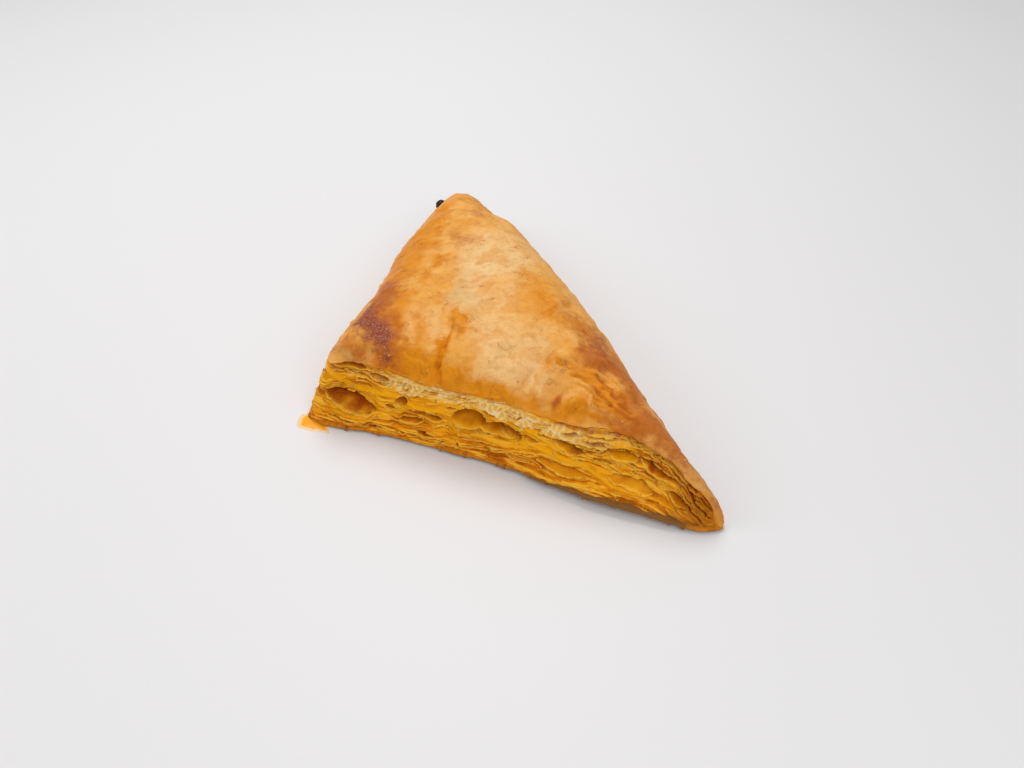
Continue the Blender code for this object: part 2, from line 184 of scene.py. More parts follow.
# Hollows of the front cut edge: place along it, share of its height, half-length, half-height as a share,
# depth, rise of the long axis as a share, darkness.
FRONT_HOLLOWS = [
    (6.2, 0.955, 6.8, 0.056, 3.2, -0.10, 0.9), (4.8, 0.865, 1.4, 0.020, 1.5, -0.03, 0.5),
    (8.5, 0.835, 1.8, 0.024, 2.0, -0.03, 0.6), (12.3, 0.815, 1.7, 0.020, 2.0, -0.02, 0.6),
    (18.3, 0.845, 3.6, 0.060, 3.5, 0.02, 0.75), (11.5, 0.44, 9.5, 0.130, 6.5, -0.16, 1.0),
    (24.8, 0.475, 1.7, 0.042, 3.0, -0.03, 0.6), (28.0, 0.58, 2.3, 0.085, 4.0, 0.03, 0.6),
    (28.3, 0.765, 0.9, 0.040, 1.5, 0.0, 0.5), (24.0, 0.235, 3.7, 0.035, 1.2, 0.01, 0.15),
    (33.3, 0.345, 4.1, 0.055, 3.0, 0.06, 0.6), (39.7, 0.475, 3.3, 0.062, 3.5, 0.02, 0.6),
    (44.0, 0.685, 2.0, 0.035, 2.0, 0.02, 0.35), (50.4, 0.585, 5.4, 0.150, 6.0, 0.04, 0.5),
    (54.2, 0.44, 1.6, 0.014, 1.5, -0.04, 0.6), (60.6, 0.56, 6.0, 0.110, 6.0, 0.03, 0.6),
    (67.2, 0.53, 0.8, 0.080, 3.0, 0.0, 0.5), (71.0, 0.57, 2.4, 0.050, 3.0, -0.05, 0.4),
    (75.2, 0.675, 2.8, 0.035, 3.0, -0.02, 0.6), (82.0, 0.645, 4.9, 0.075, 5.0, -0.08, 0.75),
    (86.7, 0.575, 1.6, 0.030, 3.0, -0.02, 0.8), (72.5, 0.83, 2.4, 0.022, 1.4, 0.02, 0.3),
    (81.7, 0.83, 2.6, 0.045, 2.2, 0.0, 0.45), (90.5, 0.835, 5.0, 0.028, 2.0, -0.02, 0.45),
    (89.5, 0.735, 3.8, 0.032, 2.0, -0.08, 0.5), (101.5, 0.925, 4.5, 0.020, 1.6, -0.02, 0.8),
    (112.0, 0.905, 3.5, 0.014, 1.6, 0.0, 0.85), (106.0, 0.875, 5.5, 0.010, 1.2, -0.02, 0.9),
    (113.5, 0.78, 4.0, 0.012, 1.4, -0.02, 0.85), (96.0, 0.555, 3.2, 0.010, 1.0, -0.08, 0.6),
    (52.5, 0.30, 4.0, 0.010, 1.0, 0.0, 0.5), (69.0, 0.20, 4.5, 0.012, 1.0, 0.02, 0.5),
    (111.0, 0.50, 2.0, 0.012, 1.2, -0.05, 0.6), (92.6, 0.64, 1.8, 0.014, 1.5, 0.03, 0.8),
    (98.7, 0.67, 4.4, 0.070, 3.0, 0.03, 0.4), (103.3, 0.595, 2.7, 0.030, 3.5, 0.0, 0.85),
    (110.5, 0.68, 7.2, 0.052, 5.0, -0.03, 1.0), (112.5, 0.565, 1.6, 0.020, 2.0, -0.02, 0.7),
    (117.0, 0.43, 3.4, 0.085, 4.5, -0.06, 0.7), (103.0, 0.36, 6.8, 0.085, 1.4, -0.03, 0.28),
    (83.0, 0.29, 8.8, 0.085, 2.0, -0.03, 0.15), (103.0, 0.91, 5.0, 0.014, 1.6, -0.01, 0.8),
    (100.0, 0.862, 3.0, 0.012, 1.2, -0.01, 0.7), (108.5, 0.845, 4.5, 0.014, 1.5, -0.02, 0.7),
    (106.0, 0.80, 3.0, 0.012, 1.2, 0.0, 0.5), (117.6, 0.93, 2.4, 0.034, 2.4, 0.06, 1.0),
    (117.0, 0.765, 3.4, 0.030, 2.4, 0.0, 0.9), (120.6, 0.835, 1.9, 0.044, 2.6, 0.05, 1.0),
    (120.6, 0.735, 2.4, 0.036, 2.6, -0.02, 1.0), (124.0, 0.775, 1.7, 0.044, 2.6, -0.05, 1.0),
    (123.2, 0.60, 3.8, 0.062, 3.4, -0.24, 1.0), (126.3, 0.70, 2.6, 0.060, 3.0, -0.20, 1.0),
    (122.4, 0.34, 2.8, 0.066, 3.0, -0.26, 0.95), (126.0, 0.45, 2.6, 0.060, 3.0, -0.26, 0.95),
    (125.0, 0.24, 2.2, 0.050, 2.4, -0.26, 0.9), (119.0, 0.60, 3.2, 0.020, 2.4, -0.16, 1.0),
    (121.0, 0.45, 2.6, 0.018, 2.0, -0.24, 0.9), (119.5, 0.22, 3.0, 0.016, 1.6, -0.10, 0.8),
    (115.0, 0.86, 3.0, 0.016, 1.8, -0.03, 0.9), (12.8, 0.35, 7.2, 0.100, 3.6, -0.10, 0.85),
    (5.0, 0.50, 2.6, 0.060, 3.4, 0.02, 0.9), (8.8, 0.145, 2.7, 0.025, 2.2, -0.04, 0.9),
    (13.6, 0.12, 2.1, 0.018, 1.6, -0.01, 0.8), (17.2, 0.115, 1.6, 0.015, 1.5, 0.0, 0.7),
    (22.0, 0.115, 3.6, 0.020, 1.6, 0.01, 0.8), (29.2, 0.12, 1.3, 0.020, 1.6, 0.02, 0.8),
    (31.8, 0.13, 0.8, 0.014, 1.3, 0.0, 0.8), (35.1, 0.13, 1.7, 0.028, 2.0, 0.01, 0.9),
    (39.0, 0.205, 2.7, 0.036, 2.6, -0.01, 0.9), (43.2, 0.13, 1.2, 0.014, 1.3, 0.02, 0.7),
    (49.0, 0.15, 0.5, 0.050, 1.5, -0.05, 0.7), (54.0, 0.185, 1.6, 0.012, 1.2, 0.0, 0.6),
    (62.0, 0.235, 3.6, 0.012, 1.2, 0.01, 0.5), (59.0, 0.13, 0.4, 0.060, 1.2, -0.04, 0.6),
    (90.5, 0.545, 2.8, 0.012, 1.2, -0.04, 0.6), (97.0, 0.47, 3.4, 0.012, 1.0, -0.06, 0.5),
    (62.6, 0.93, 1.8, 0.016, 1.4, 0.03, 0.5), (46.5, 0.87, 2.2, 0.022, 1.2, 0.02, 0.25),
    (65.2, 0.82, 0.9, 0.016, 1.2, 0.04, 0.7), (32.0, 0.97, 2.6, 0.014, 1.2, -0.01, 0.6),
]
# Thick waxy sheets between the hollows: (half-height as a share, stands out, yellowness, path).
WAXY_SHEETS = [
    (0.040, 0.8, 1.0, [(-2, 0.92), (3, 0.80), (6, 0.72), (10, 0.665), (15, 0.63),
                       (20, 0.61), (26, 0.66), (33, 0.57), (42, 0.60)]),
    (0.026, 0.5, 0.3, [(-2, 0.25), (6, 0.23), (14, 0.19), (24, 0.16), (34, 0.24),
                       (44, 0.33), (56, 0.34), (66, 0.30)]),
    (0.030, 0.6, 0.6, [(64, 0.44), (72, 0.47), (80, 0.46), (88, 0.44), (96, 0.27),
                       (104, 0.24), (112, 0.26), (119, 0.24)]),
    (0.026, 0.6, 0.5, [(93, 0.60), (99, 0.60), (105, 0.64), (110, 0.60), (116, 0.62),
                       (121, 0.52), (125, 0.30), (128, 0.1)]),
    (0.022, 0.5, 0.9, [(56, 0.69), (62, 0.66), (70, 0.66), (78, 0.58), (86, 0.50)]),
]
# The lower border of the pale foamy band under the crust, and how pale it is: (place, share, paleness).
FOAM_BAND = [
    (-120, 0.72, 0.5), (-4, 0.80, 0.25), (16, 0.78, 0.3), (24, 0.70, 0.7), (31, 0.67, 1.0), (37, 0.74, 0.9),
    (44, 0.74, 0.7), (50, 0.76, 0.7), (56, 0.70, 1.0), (66, 0.69, 1.0), (76, 0.71, 0.9), (84, 0.70, 0.9),
    (92, 0.64, 0.8), (97, 0.78, 0.4), (106, 0.82, 0.1), (130, 0.90, 0.0),
]
# The underside that shows under the lifted border of the base, its own brown painted darker and greyer as
# shade: (place, share of the height).
UNDERSIDE = [
    (-120, 0.02), (55, 0.02), (70, 0.02), (80, 0.03), (95, 0.05), (110, 0.09), (119, 0.13), (123, 0.04),
    (130, 0.0),
]

# Crumbs: their width, and for flakes on the crust and for crumbs on the cut layers how many lie on a square
# centimetre, how thick they are for their width, and the seed of their random draws.
CRUMB_WIDTH = 0.55
FLAKES = (5.0, 0.22, 17)
CRUMBS = (22.0, 0.7, 29)
CRUMB_DENSITY = "Crumbs per square metre"
# Where most flakes lie: (x, y, x, y, half-width, strength).
FLAKY_PATCHES = [
    (78, 20, 98, 12, 4, 0.8), (14, 20, 24, 12, 4, 1.0), (40, 24, 42, 8, 1.5, 1.0), (52, 12, 60, 10, 4, 0.8),
]

FINE_SEED = 11
FINE_HOLLOWS = 130
LEFT_HOLLOWS = 34
# Least and greatest half-length, half-height as a share and depth of the hollows that are drawn at random.
LEFT_HOLLOW_SIZES = ((1.5, 6.0), (0.02, 0.09), (1.5, 5.0))
FINE_HOLLOW_SIZES = ((0.4, 1.8), (0.006, 0.016), (0.5, 1.4))
# How far the border of a hollow strays from an even lens, and how wide its thin rim is.
HOLLOW_SWAY = 0.5
RIM_WIDTH = 0.26
# How far the cut layers and the base stand out from the line of the base, as in the solid.
EDGE_OUT = 0.65
# Single layers over the height of a cut edge, and how they fan out at the tip, as a share of the height.
LEAF_COUNT = 26
TIP_FAN = 0.18
# The foam under the crust: width of a cell, and how far heights are squeezed, so that cells come out taller.
FOAM_CELL = 2.0
FOAM_STRETCH = 0.8
# The border of the base in section: how far out and how far above its line each ring lies.
BASE_PROFILE = [(-7.0, 1.9), (-1.6, 1.2), (-0.3, 0.7), (0.1, 0.28), (-0.1, 0.0), (-0.9, -0.12)]
# The scorched bead: its half-sizes and its middle.
BEAD_HALF = (1.7, 1.9, 1.5)
BEAD_PLACE = (-6.4, 110.8, 15.6)


def linear(code):
    """An sRGB hex colour as a linear colour."""
    shares = [int(code[k : k + 2], 16) / 255 for k in (0, 2, 4)]
    return tuple(s / 12.92 if s <= 0.04045 else ((s + 0.055) / 1.055) ** 2.4 for s in shares) + (1.0,)


def smooth(low, high, x):
    """Runs from 0 below low to 1 above high, eased at both ends."""
    t = np.clip((x - low) / (high - low), 0.0, 1.0)
    return t * t * (3.0 - 2.0 * t)


def spline(knots, steps):
    """Points along a closed smooth curve through the knots, with the same steps between any two knots."""
    before, after, beyond = (np.roll(knots, shift, axis=0) for shift in (1, -1, -2))
    t = np.linspace(0.0, 1.0, steps, endpoint=False)[:, None, None]
    curve = 0.5 * (
        2 * knots
        + (after - before) * t
        + (2 * before - 5 * knots + 4 * after - beyond) * t**2
        + (3 * knots - before - 3 * after + beyond) * t**3
    )
    return curve.transpose(1, 0, 2).reshape(-1, knots.shape[1])


def run_of(path):
    """How far along a path each of its points lies."""
    return np.concatenate([[0.0], np.cumsum(np.linalg.norm(np.diff(path, axis=0), axis=1))])


def on_line(along):
    """Places along a line as plan points, for noise that runs along it."""
    return np.column_stack([along, 0 * along])


def resample(path, steps):
    """The same path in equal steps, without its last point."""
    along = run_of(path)
    wanted = np.linspace(0.0, along[-1], steps, endpoint=False)
    return np.stack([np.interp(wanted, along, axis) for axis in path.T], axis=1)


def border(sides, steps):
    """A closed border with the given numbers of steps on its three sides."""
    fine = 60
    curve = spline(np.array(sum(sides, []), float), fine)
    looped = np.vstack([curve, curve[:1]])
    starts = np.cumsum([0] + [len(side) for side in sides]) * fine
    return np.vstack([resample(looped[a : b + 1], n) for a, b, n in zip(starts, starts[1:], steps)])


def outward_of(path, reach):
    """Level unit vectors that point out of a closed border, eased over reach points to each side."""
    ahead = np.roll(path, -reach, axis=0) - np.roll(path, reach, axis=0)
    out = np.stack([ahead[:, 1], -ahead[:, 0], 0 * ahead[:, 0]], axis=1)
    out /= np.linalg.norm(out, axis=1)[:, None]
    eased = sum(np.roll(out, shift, axis=0) for shift in range(-reach, reach + 1))
    return eased / np.linalg.norm(eased, axis=1)[:, None]


def scramble(cell, seed):
    """A fixed random number from 0 to 1 for each whole-numbered cell."""
    key = np.full(len(cell), seed * 2654435761 & 0xFFFFFFFF, np.int64)
    for axis in cell.T:
        key = ((key ^ axis) * 2246822519 + 3266489917) & 0xFFFFFFFF
        key ^= key >> 15
    return key / 2**32


def noise(points, size, seed):
    """Smooth noise from -1 to 1 at each point, with bumps about size across."""
    place = np.asarray(points, float) / size + 0.37 * seed
    cell = np.floor(place).astype(np.int64)
    t = place - cell
    t = t * t * t * (t * (t * 6 - 15) + 10)
    total = np.zeros(len(place))
    for corner in itertools.product((0, 1), repeat=place.shape[1]):
        weight = np.prod(np.where(corner, t, 1.0 - t), axis=1)
        total += weight * (2.0 * scramble(cell + corner, seed) - 1.0)
    return total


def cloud(points, size, seed, octaves=3):
    """Noise with finer and fainter noise on top."""
    return sum(noise(points, size / 2**k, seed + 7 * k) / 2**k for k in range(octaves))


def cell_walls(points, size, seed):
    """A foam of cells about size across: 0 inside a cell, rising to 1 on the walls between cells."""
    place = np.asarray(points, float) / size
    home = np.floor(place).astype(np.int64)
    first, second = np.full((2, len(place)), 9.0)
    for step in itertools.product((-1, 0, 1), repeat=place.shape[1]):
        cell = home + step
        middle = cell + np.stack([scramble(cell, seed + k) for k in range(cell.shape[1])], axis=1)
        apart = np.linalg.norm(place - middle, axis=1)
        second = np.minimum(second, np.maximum(first, apart))
        first = np.minimum(first, apart)
    return 1.0 - np.clip(2.0 * (second - first), 0.0, 1.0)


def streaks(spot, strokes):
    """Sum of the strokes' strengths, depths or heights at each plan point, each fading from its middle."""
    total = np.zeros(len(spot))
    for x0, y0, x1, y1, half_width, strength in strokes:
        start, run = np.array((x0, y0)), np.array((x1 - x0, y1 - y0))
        share = np.clip((spot - start) @ run / (run @ run), 0.0, 1.0)
        distance = np.linalg.norm(spot - start - share[:, None] * run, axis=1)
        total += strength * np.exp(-((distance / half_width) ** 2))
    return total


def tinted(spot, patches):
    """How strongly patches of colour cover each plan point, from 0 to 1, where they overlap too."""
    bare = np.ones(len(spot))
    for patch in patches:
        bare *= 1.0 - np.clip(streaks(spot, [patch]), 0.0, 1.0)
    return 1.0 - bare


def crown(spot, rim):
    """Distance to the rim and height of the blown-up top crust at each plan point, as in the solid."""
    to_rim, height = np.zeros(len(spot)), np.zeros(len(spot))
    step = np.linalg.norm(np.roll(rim, -1, axis=0) - rim, axis=1)
    for part in np.array_split(np.arange(len(spot)), 40):
        apart = np.hypot(spot[part, 0, None] - rim[None, :, 0], spot[part, 1, None] - rim[None, :, 1])
        weight = step / np.maximum(apart, 1e-3) ** 3
        total = weight.sum(axis=1)
        to_rim[part] = np.sqrt(2.0 / total)
        height[part] = weight @ rim[:, 2] / total
    return to_rim, height + CROWN_RISE * (1.0 - np.exp(-to_rim / CROWN_REACH))


def broad_relief(spot):
    """Height that the broad creases and dents add to the top crust."""
    height = -streaks(spot, CRUST_CREASES)
    for x, y, radius, depth in CRUST_DENTS:
        distance = np.linalg.norm(spot - (x, y), axis=1)
        height -= depth * np.exp(-((distance / radius) ** 2))
    return height


def normals_of(points, faces):
    """Unit normals at the points of a mesh of triangles or quads."""
    corners = points[faces]
    across = np.cross(corners[:, 2] - corners[:, 0], corners[:, -1] - corners[:, 1])
    if faces.shape[1] == 3:
        across = np.cross(corners[:, 1] - corners[:, 0], corners[:, 2] - corners[:, 0])
    total = np.zeros_like(points)
    for k in range(faces.shape[1]):
        np.add.at(total, faces[:, k], across)
    return total / np.maximum(np.linalg.norm(total, axis=1)[:, None], 1e-12)


def drawn_smooth(points, triangles, weight, rounds):
    """The points, each drawn by its weight towards the middle of its neighbours, a number of times."""
    pairs = np.vstack([triangles[:, [0, 1]], triangles[:, [1, 2]], triangles[:, [2, 0]]])
    pairs = np.vstack([pairs, pairs[:, ::-1]])
    count = np.bincount(pairs[:, 0], minlength=len(points))
    for _ in range(rounds):
        sums = [np.bincount(pairs[:, 0], axis[pairs[:, 1]], len(points)) for axis in points.T]
        points = points + (np.stack(sums, axis=1) / count[:, None] - points) * weight[:, None]
    return points


def grid_faces(rows, columns):
    """The points of a grid by number, row by row, and its faces."""
    grid = np.arange(rows * columns).reshape(rows, columns)
    faces = np.stack([grid[:-1, :-1], grid[:-1, 1:], grid[1:, 1:], grid[1:, :-1]], axis=-1)
    return grid, faces.reshape(-1, 4).tolist()


def tube_faces(count, rings, start=0):
    """Faces between neighbouring rings of count points each."""
    faces = []
    for k in range(rings - 1):
        a = start + k * count + np.arange(count)
        b = a + count
        faces += np.stack([a, b, np.roll(b, -1), np.roll(a, -1)], axis=1).tolist()
    return faces


def make_piece(name, points, faces, material, masks=None, sharp_from=None):
    """A finished piece from points in millimetres, with its masks as attributes.

    The edges between the faces from number sharp_from on and the ones before them are sharp.
    """
    faces = [tuple(map(int, face)) for face in faces]
    data = bpy.data.meshes.new(name)
    data.from_pydata(((points + SHIFT) * MM).tolist(), [], faces)
    data.shade_smooth()
    for mask, values in (masks or {}).items():
        attribute = data.attributes.new(mask, "FLOAT", "POINT")
        padded = np.zeros(len(points), np.float32)
        padded[: len(values)] = values
        attribute.data.foreach_set("value", padded)
    if sharp_from is not None:
        uses = {}
        for index, face in enumerate(faces):
            for a, b in zip(face, face[1:] + face[:1]):
                uses.setdefault((min(a, b), max(a, b)), []).append(index >= sharp_from)
        sharp = data.attributes.new("sharp_edge", "BOOLEAN", "EDGE")
        flags = [len(set(uses[tuple(sorted(edge.vertices))])) > 1 for edge in data.edges]
        sharp.data.foreach_set("value", flags)
    data.materials.append(material)
    piece = bpy.data.objects.new(name, data)
    bpy.context.scene.collection.objects.link(piece)
    return keep_piece(piece)


def keep_piece(piece):
    """Makes a finished piece part of the puff."""
    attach(piece, "root")
    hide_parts(NODE)
    return piece


def triangle_patch(ring, count):
    """Plan points and triangles of a three-sided patch that meets the ring of count steps a side."""
    looped = np.vstack([ring, ring[:1]])
    a_side, b_side, c_side = (looped[k * count : (k + 1) * count + 1] for k in range(3))
    corner_a, corner_b, corner_c = ring[0], ring[count], ring[2 * count]
    index = {}
    interior = [(i, j) for i in range(1, count) for j in range(1, count - i)]
    grid = np.array(interior, float) / count
    c, b = grid[:, 0], grid[:, 1]
    a = 1.0 - b - c

    def on(side, t):
        place = t * count
        return np.stack([np.interp(place, np.arange(count + 1), axis) for axis in side.T], axis=1)

    to_a = (1 - a)[:, None] * on(b_side, c / (b + c)) + a[:, None] * corner_a
    to_b = (1 - b)[:, None] * on(c_side, a / (a + c)) + b[:, None] * corner_b
    to_c = (1 - c)[:, None] * on(a_side, b / (a + b)) + c[:, None] * corner_c
    wa, wb, wc = (b * c) ** 2, (a * c) ** 2, (a * b) ** 2
    spots = (wa[:, None] * to_a + wb[:, None] * to_b + wc[:, None] * to_c) / (wa + wb + wc)[:, None]
    for k in range(count):
        index[0, k] = k
        index[k, count - k] = count + k
        index[count - k, 0] = (2 * count + k) % (3 * count)
    for k, place in enumerate(interior):
        index[place] = 3 * count + k
    faces = []
    for i in range(count):
        for j in range(count - i):
            faces.append((index[i, j], index[i, j + 1], index[i + 1, j]))
            if j < count - i - 1:
                faces.append((index[i, j + 1], index[i + 1, j + 1], index[i + 1, j]))
    return spots, faces


def crust_masks(points, side_share):
    """How pale, orange, brown, burnt, dull and folded the crust is at each of its points."""
    drift = np.stack([cloud(points, 7, 21) * 2.0, cloud(points, 7, 22) * 2.0], axis=1)
    drift += np.stack([cloud(points, 2.2, 23) * 0.7, cloud(points, 2.2, 24) * 0.7], axis=1)
    spot = points[:, :2] + drift * smooth(0, 10, points[:, 1])[:, None]
    masks = {name: tinted(spot, patches) for name, patches in CRUST_PATCHES.items()}
    masks["pale"] *= 1.0 - side_share
    masks["folded"] = side_share * (0.8 + 0.4 * cloud(points, 16, 25))
    masks["brown"] += 0.35 * side_share * smooth(30, 10, points[:, 1])
    return {name: np.clip(mask, 0.0, 1.0) for name, mask in masks.items()}


def lifted_skin(points):
    """Thin patches of skin that have lifted and flaked: a stepped height from 0 to 1, with sharp edges."""
    warped = points + 1.2 * np.stack([cloud(points, 4, seed) for seed in (31, 32, 33)], axis=1)
    upper = smooth(-0.03, 0.03, cloud(warped, 13, 34, 2))
    lower = smooth(-0.03, 0.03, cloud(warped, 9, 35, 2) - 0.1)
    return 0.6 * upper + 0.4 * lower


def fine_relief(points, burnt):
    """Height of the crust's fine relief: undulation, lifted skin, sharp creases and blisters."""
    spot = points[:, :2] + np.stack([noise(points, 3, 41), noise(points, 3, 42)], axis=1) * 0.35
    lines = streaks(spot, CRUST_LINES)
    blisters = np.clip(noise(points, BLISTER_SIZE, 43), 0, 1) * burnt
    rolling = 0.38 * cloud(points, 11, 44) + 0.20 * cloud(points, 3.6, 45) + 0.06 * cloud(points, 1.3, 46)
    return rolling + 0.28 * lifted_skin(points) - 0.9 * lines + BLISTER_HEIGHT * 2 * blisters


def skirt_rows(base, rim, outward, whole, folded, lip, out):
    """Rings down the side: the lip, tucked in below, on the cut edges and the bolster on the fold."""
    rows = []
    for t in np.arange(1, SKIRT_ROWS + 1) / SKIRT_ROWS:
        bolster = FOLD_BULGE * folded * math.sin(math.pi * (1.0 - t))
        fold = base + (rim - base) * (1.0 - t) + outward * bolster[:, None]
        back = smooth(0.5, 1.0, t)
        cut = base + (rim - base) * (1.0 - smooth(0.0, 0.5, t) * lip + 0.02 * back)[:, None]
        stands = LIP_START + (out - LIP_START) * math.sin(math.pi * min(t, 0.5))
        stands -= 0.3 * smooth(0.40, 0.62, t) + LIP_TUCK * back
        cut += outward * stands[:, None]
        rows.append(cut + (fold - cut) * whole[:, None])
    return rows


def make_crust(material):
    """The top crust: the crown, a lip over the two cut edges and the fold's side down to the base."""
    count = CRUST_STEPS
    base, rim = (border(sides, (count,) * 3) for sides in (BASE, RIM))
    outward = outward_of(0.5 * (base + rim), 5)
    share = np.tile(np.arange(count) / count, 3)
    side = np.repeat([0, 1, 2], count)
    # How much of the side is crust: only the lip on the cut edges, everything on the fold.
    whole = np.choose(side, [smooth(0.955, 1.0, share), 1.0 + 0 * share, 1.0 - smooth(0.0, 0.055, share)])
    folded = np.where(side == 1, np.sin(math.pi * share) ** FOLD_FULLNESS, 0.0)
    ring = rim + outward * (LIP_START * (1 - whole))[:, None]
    along = run_of(rim)
    edge_line = on_line(along)
    lip = LIP_SHARE * (1.0 + 0.55 * cloud(edge_line, 6, 51) + 0.35 * noise(edge_line, 1.6, 52))
    # Over the square corner the crust has lifted off in a thin flap, with a dark gap below.
    lip *= 1.0 - 0.7 * np.exp(-(((along - 5.7) / 5.0) ** 2))
    out = LIP_OUT * (1.0 + 0.35 * cloud(edge_line, 5, 53))

    spots, faces = triangle_patch(ring[:, :2], count)
    patch = np.array(faces) - len(ring)
    between = np.linspace(0.0, 1.0, RIM_PARTS, endpoint=False)[:, None, None]
    dense = (ring + (np.roll(ring, -1, axis=0) - ring) * between).transpose(1, 0, 2).reshape(-1, 3)
    to_rim, crown_height = crown(spots, dense)
    top = np.column_stack([spots, crown_height + broad_relief(spots)])
    points = np.vstack([ring, top] + skirt_rows(base, rim, outward, whole, folded, lip, out))
    start = len(ring) + len(top)
    upper = np.arange(3 * count)
    for k in range(SKIRT_ROWS):
        lower = start + k * 3 * count + np.arange(3 * count)
        faces += np.stack([lower, np.roll(lower, -1), np.roll(upper, -1), upper], axis=1).tolist()
        upper = lower
    triangles = np.array([f[:3] for f in faces] + [(f[0], f[2], f[3]) for f in faces if len(f) == 4])

    # The crown rolls over into the lip without a crease.
    down = np.repeat(np.arange(1, SKIRT_ROWS + 1) / SKIRT_ROWS, 3 * count)
    near_rim = [np.ones(len(ring)), np.exp(-((to_rim / SEAM_REACH) ** 2)), 1 - smooth(0.1, 0.45, down)]
    points = drawn_smooth(points, triangles, 0.6 * np.concatenate(near_rim), SEAM_ROUNDS)
    whole_side = np.tile(whole, SKIRT_ROWS)
    masks = crust_masks(points, np.append(np.zeros(start), whole_side))
    under = np.append(np.zeros(start), smooth(0.42, 0.62, down) * (1 - whole_side))
    masks["crumb"] = under
    relief = fine_relief(points, masks["burnt"]) * (1.0 - under)
    points = points + normals_of(points, triangles) * relief[:, None]
    points[:, 2] = np.maximum(points[:, 2], 0.15)

    # Thin skin flakes lie on the browned waist and along the cut rims, with a few on the rest of the crust.
    crumbly = 0.1 + np.exp(-((to_rim / 2.5) ** 2)) * smooth(16, 10, spots[:, 1])
    crumbly += streaks(spots, FLAKY_PATCHES)
    patch = patch[patch.min(axis=1) >= 0].tolist()
    strew_crumbs("skin_flakes", points[len(ring) : start], patch, crumbly, FLAKES, material)

    # An inner wall closes the crust, well inside the puff.
    last, lower = upper, len(points) + np.arange(3 * count)
    middle = points[last].mean(axis=0) * (1, 1, 0) + (0, 0, 12.0)
    inner = points[last] + (middle - points[last]) * 0.25
    closing, hub = len(faces), len(points) + len(inner)
    faces += np.stack([lower, np.roll(lower, -1), np.roll(last, -1), last], axis=1).tolist()
    faces += [(a, hub, b) for a, b in zip(lower, np.roll(lower, -1))]
    make_piece("top_crust", np.vstack([points, inner, middle]), faces, material, masks, closing)


def random_hollows(draw, low, high, count, sizes):
    """Hollows of uneven size, scattered along a stretch of a cut edge."""
    length, height, depth = sizes
    return [
        (low + (high - low) * (k + draw.random()) / count, draw.uniform(0.1, 0.9), draw.uniform(*length),
         draw.uniform(*height), draw.uniform(*depth), draw.uniform(-0.05, 0.03), draw.uniform(0.3, 0.8))
        for k in range(count)
    ]


def opened(along, v, height, hollows):
    """What hollows do to a cut edge: layer coordinate, mouths, depth, painted shade, painted floor light,
    thin rims.
    """
    layer = v.copy()
    mouths, deep, painted_shade, floor_light, rims = (np.zeros_like(v) for _ in range(5))
    spot = np.column_stack([along.ravel(), (v * height).ravel()])
    sideways = HOLLOW_SWAY * cloud(spot, 4.5, 61, 2).reshape(v.shape)
    upwards = HOLLOW_SWAY * cloud(spot, 4.0, 62, 2).reshape(v.shape) / height
    uneven = 0.9 + 0.35 * noise(spot, 2.2, 63).reshape(v.shape)
    for place, share, half_length, half_height, depth, rise, darkness in hollows:
        near = np.abs(along[0] - place) < half_length * 1.3 + 2 * HOLLOW_SWAY
        x = (along[:, near] + sideways[:, near] - place) / half_length
        ends = np.clip(1.0 - np.abs(x) ** 2.4, 0.0, 1.0)
        half = half_height * ends**0.6 + 1e-4
        off = v[:, near] + upwards[:, near] - share - 0.5 * rise * x
        up = off / half
        inside = (np.abs(up) < 1) * (ends > 0)
        mouth = inside * smooth(0.3, 0.9, half * height[:, near])
        reach = smooth(-1.0, 0.55, up) * (1.0 - smooth(0.84, 1.0, up)) * ends**0.3
        # The whole mouth is in shadow, and the part under its upper border the most.
        shade = (0.12 + 0.68 * darkness) * smooth(-1.1, -0.5, up) * uneven[:, near]
        shade = np.minimum(shade + 0.35 * smooth(0.0, 0.9, up), 1.0) * inside
        # The floor catches light, less so in a dark hollow.
        lit = (1.0 - 0.75 * darkness) * (1 - smooth(-0.6, 0.2, up)) * inside
        gap = (np.abs(up) - 1.0) * half * height[:, near]
        rim = np.exp(-((gap / RIM_WIDTH) ** 2)) * smooth(0.0, 0.15, ends) * uneven[:, near]
        found = (mouth, depth * reach, shade, lit, rim)
        for whole, here in zip((mouths, deep, painted_shade, floor_light, rims), found):
            whole[:, near] = np.maximum(whole[:, near], here)
        beyond = np.maximum(np.abs(off) - half, 0.0)
        drawn_in = np.minimum(half, np.abs(off)) * np.exp(-beyond / (1.3 * half_height))
        layer[:, near] -= np.sign(off) * drawn_in
    return layer, mouths, deep, painted_shade, floor_light, rims


def waxy_sheets(length, v):
    """How far thick waxy sheets stand out of a cut edge, and how yellow they are."""
    sheet, yellow = np.zeros_like(v), np.zeros_like(v)
    for half, out, tone, path in WAXY_SHEETS:
        places, shares = zip(*path)
        first, last = places[0], places[-1]
        middle = np.interp(length, places, shares) + 0.01 * noise(on_line(length), 5, 62)
        inside = smooth(first - 3, first + 2, length) * (1 - smooth(last - 2, last + 3, length))
        cover = inside * np.exp(-(((v - middle) / half) ** 2))
        sheet = np.maximum(sheet, out * cover)
        yellow = np.maximum(yellow, tone * cover)
    return sheet, yellow


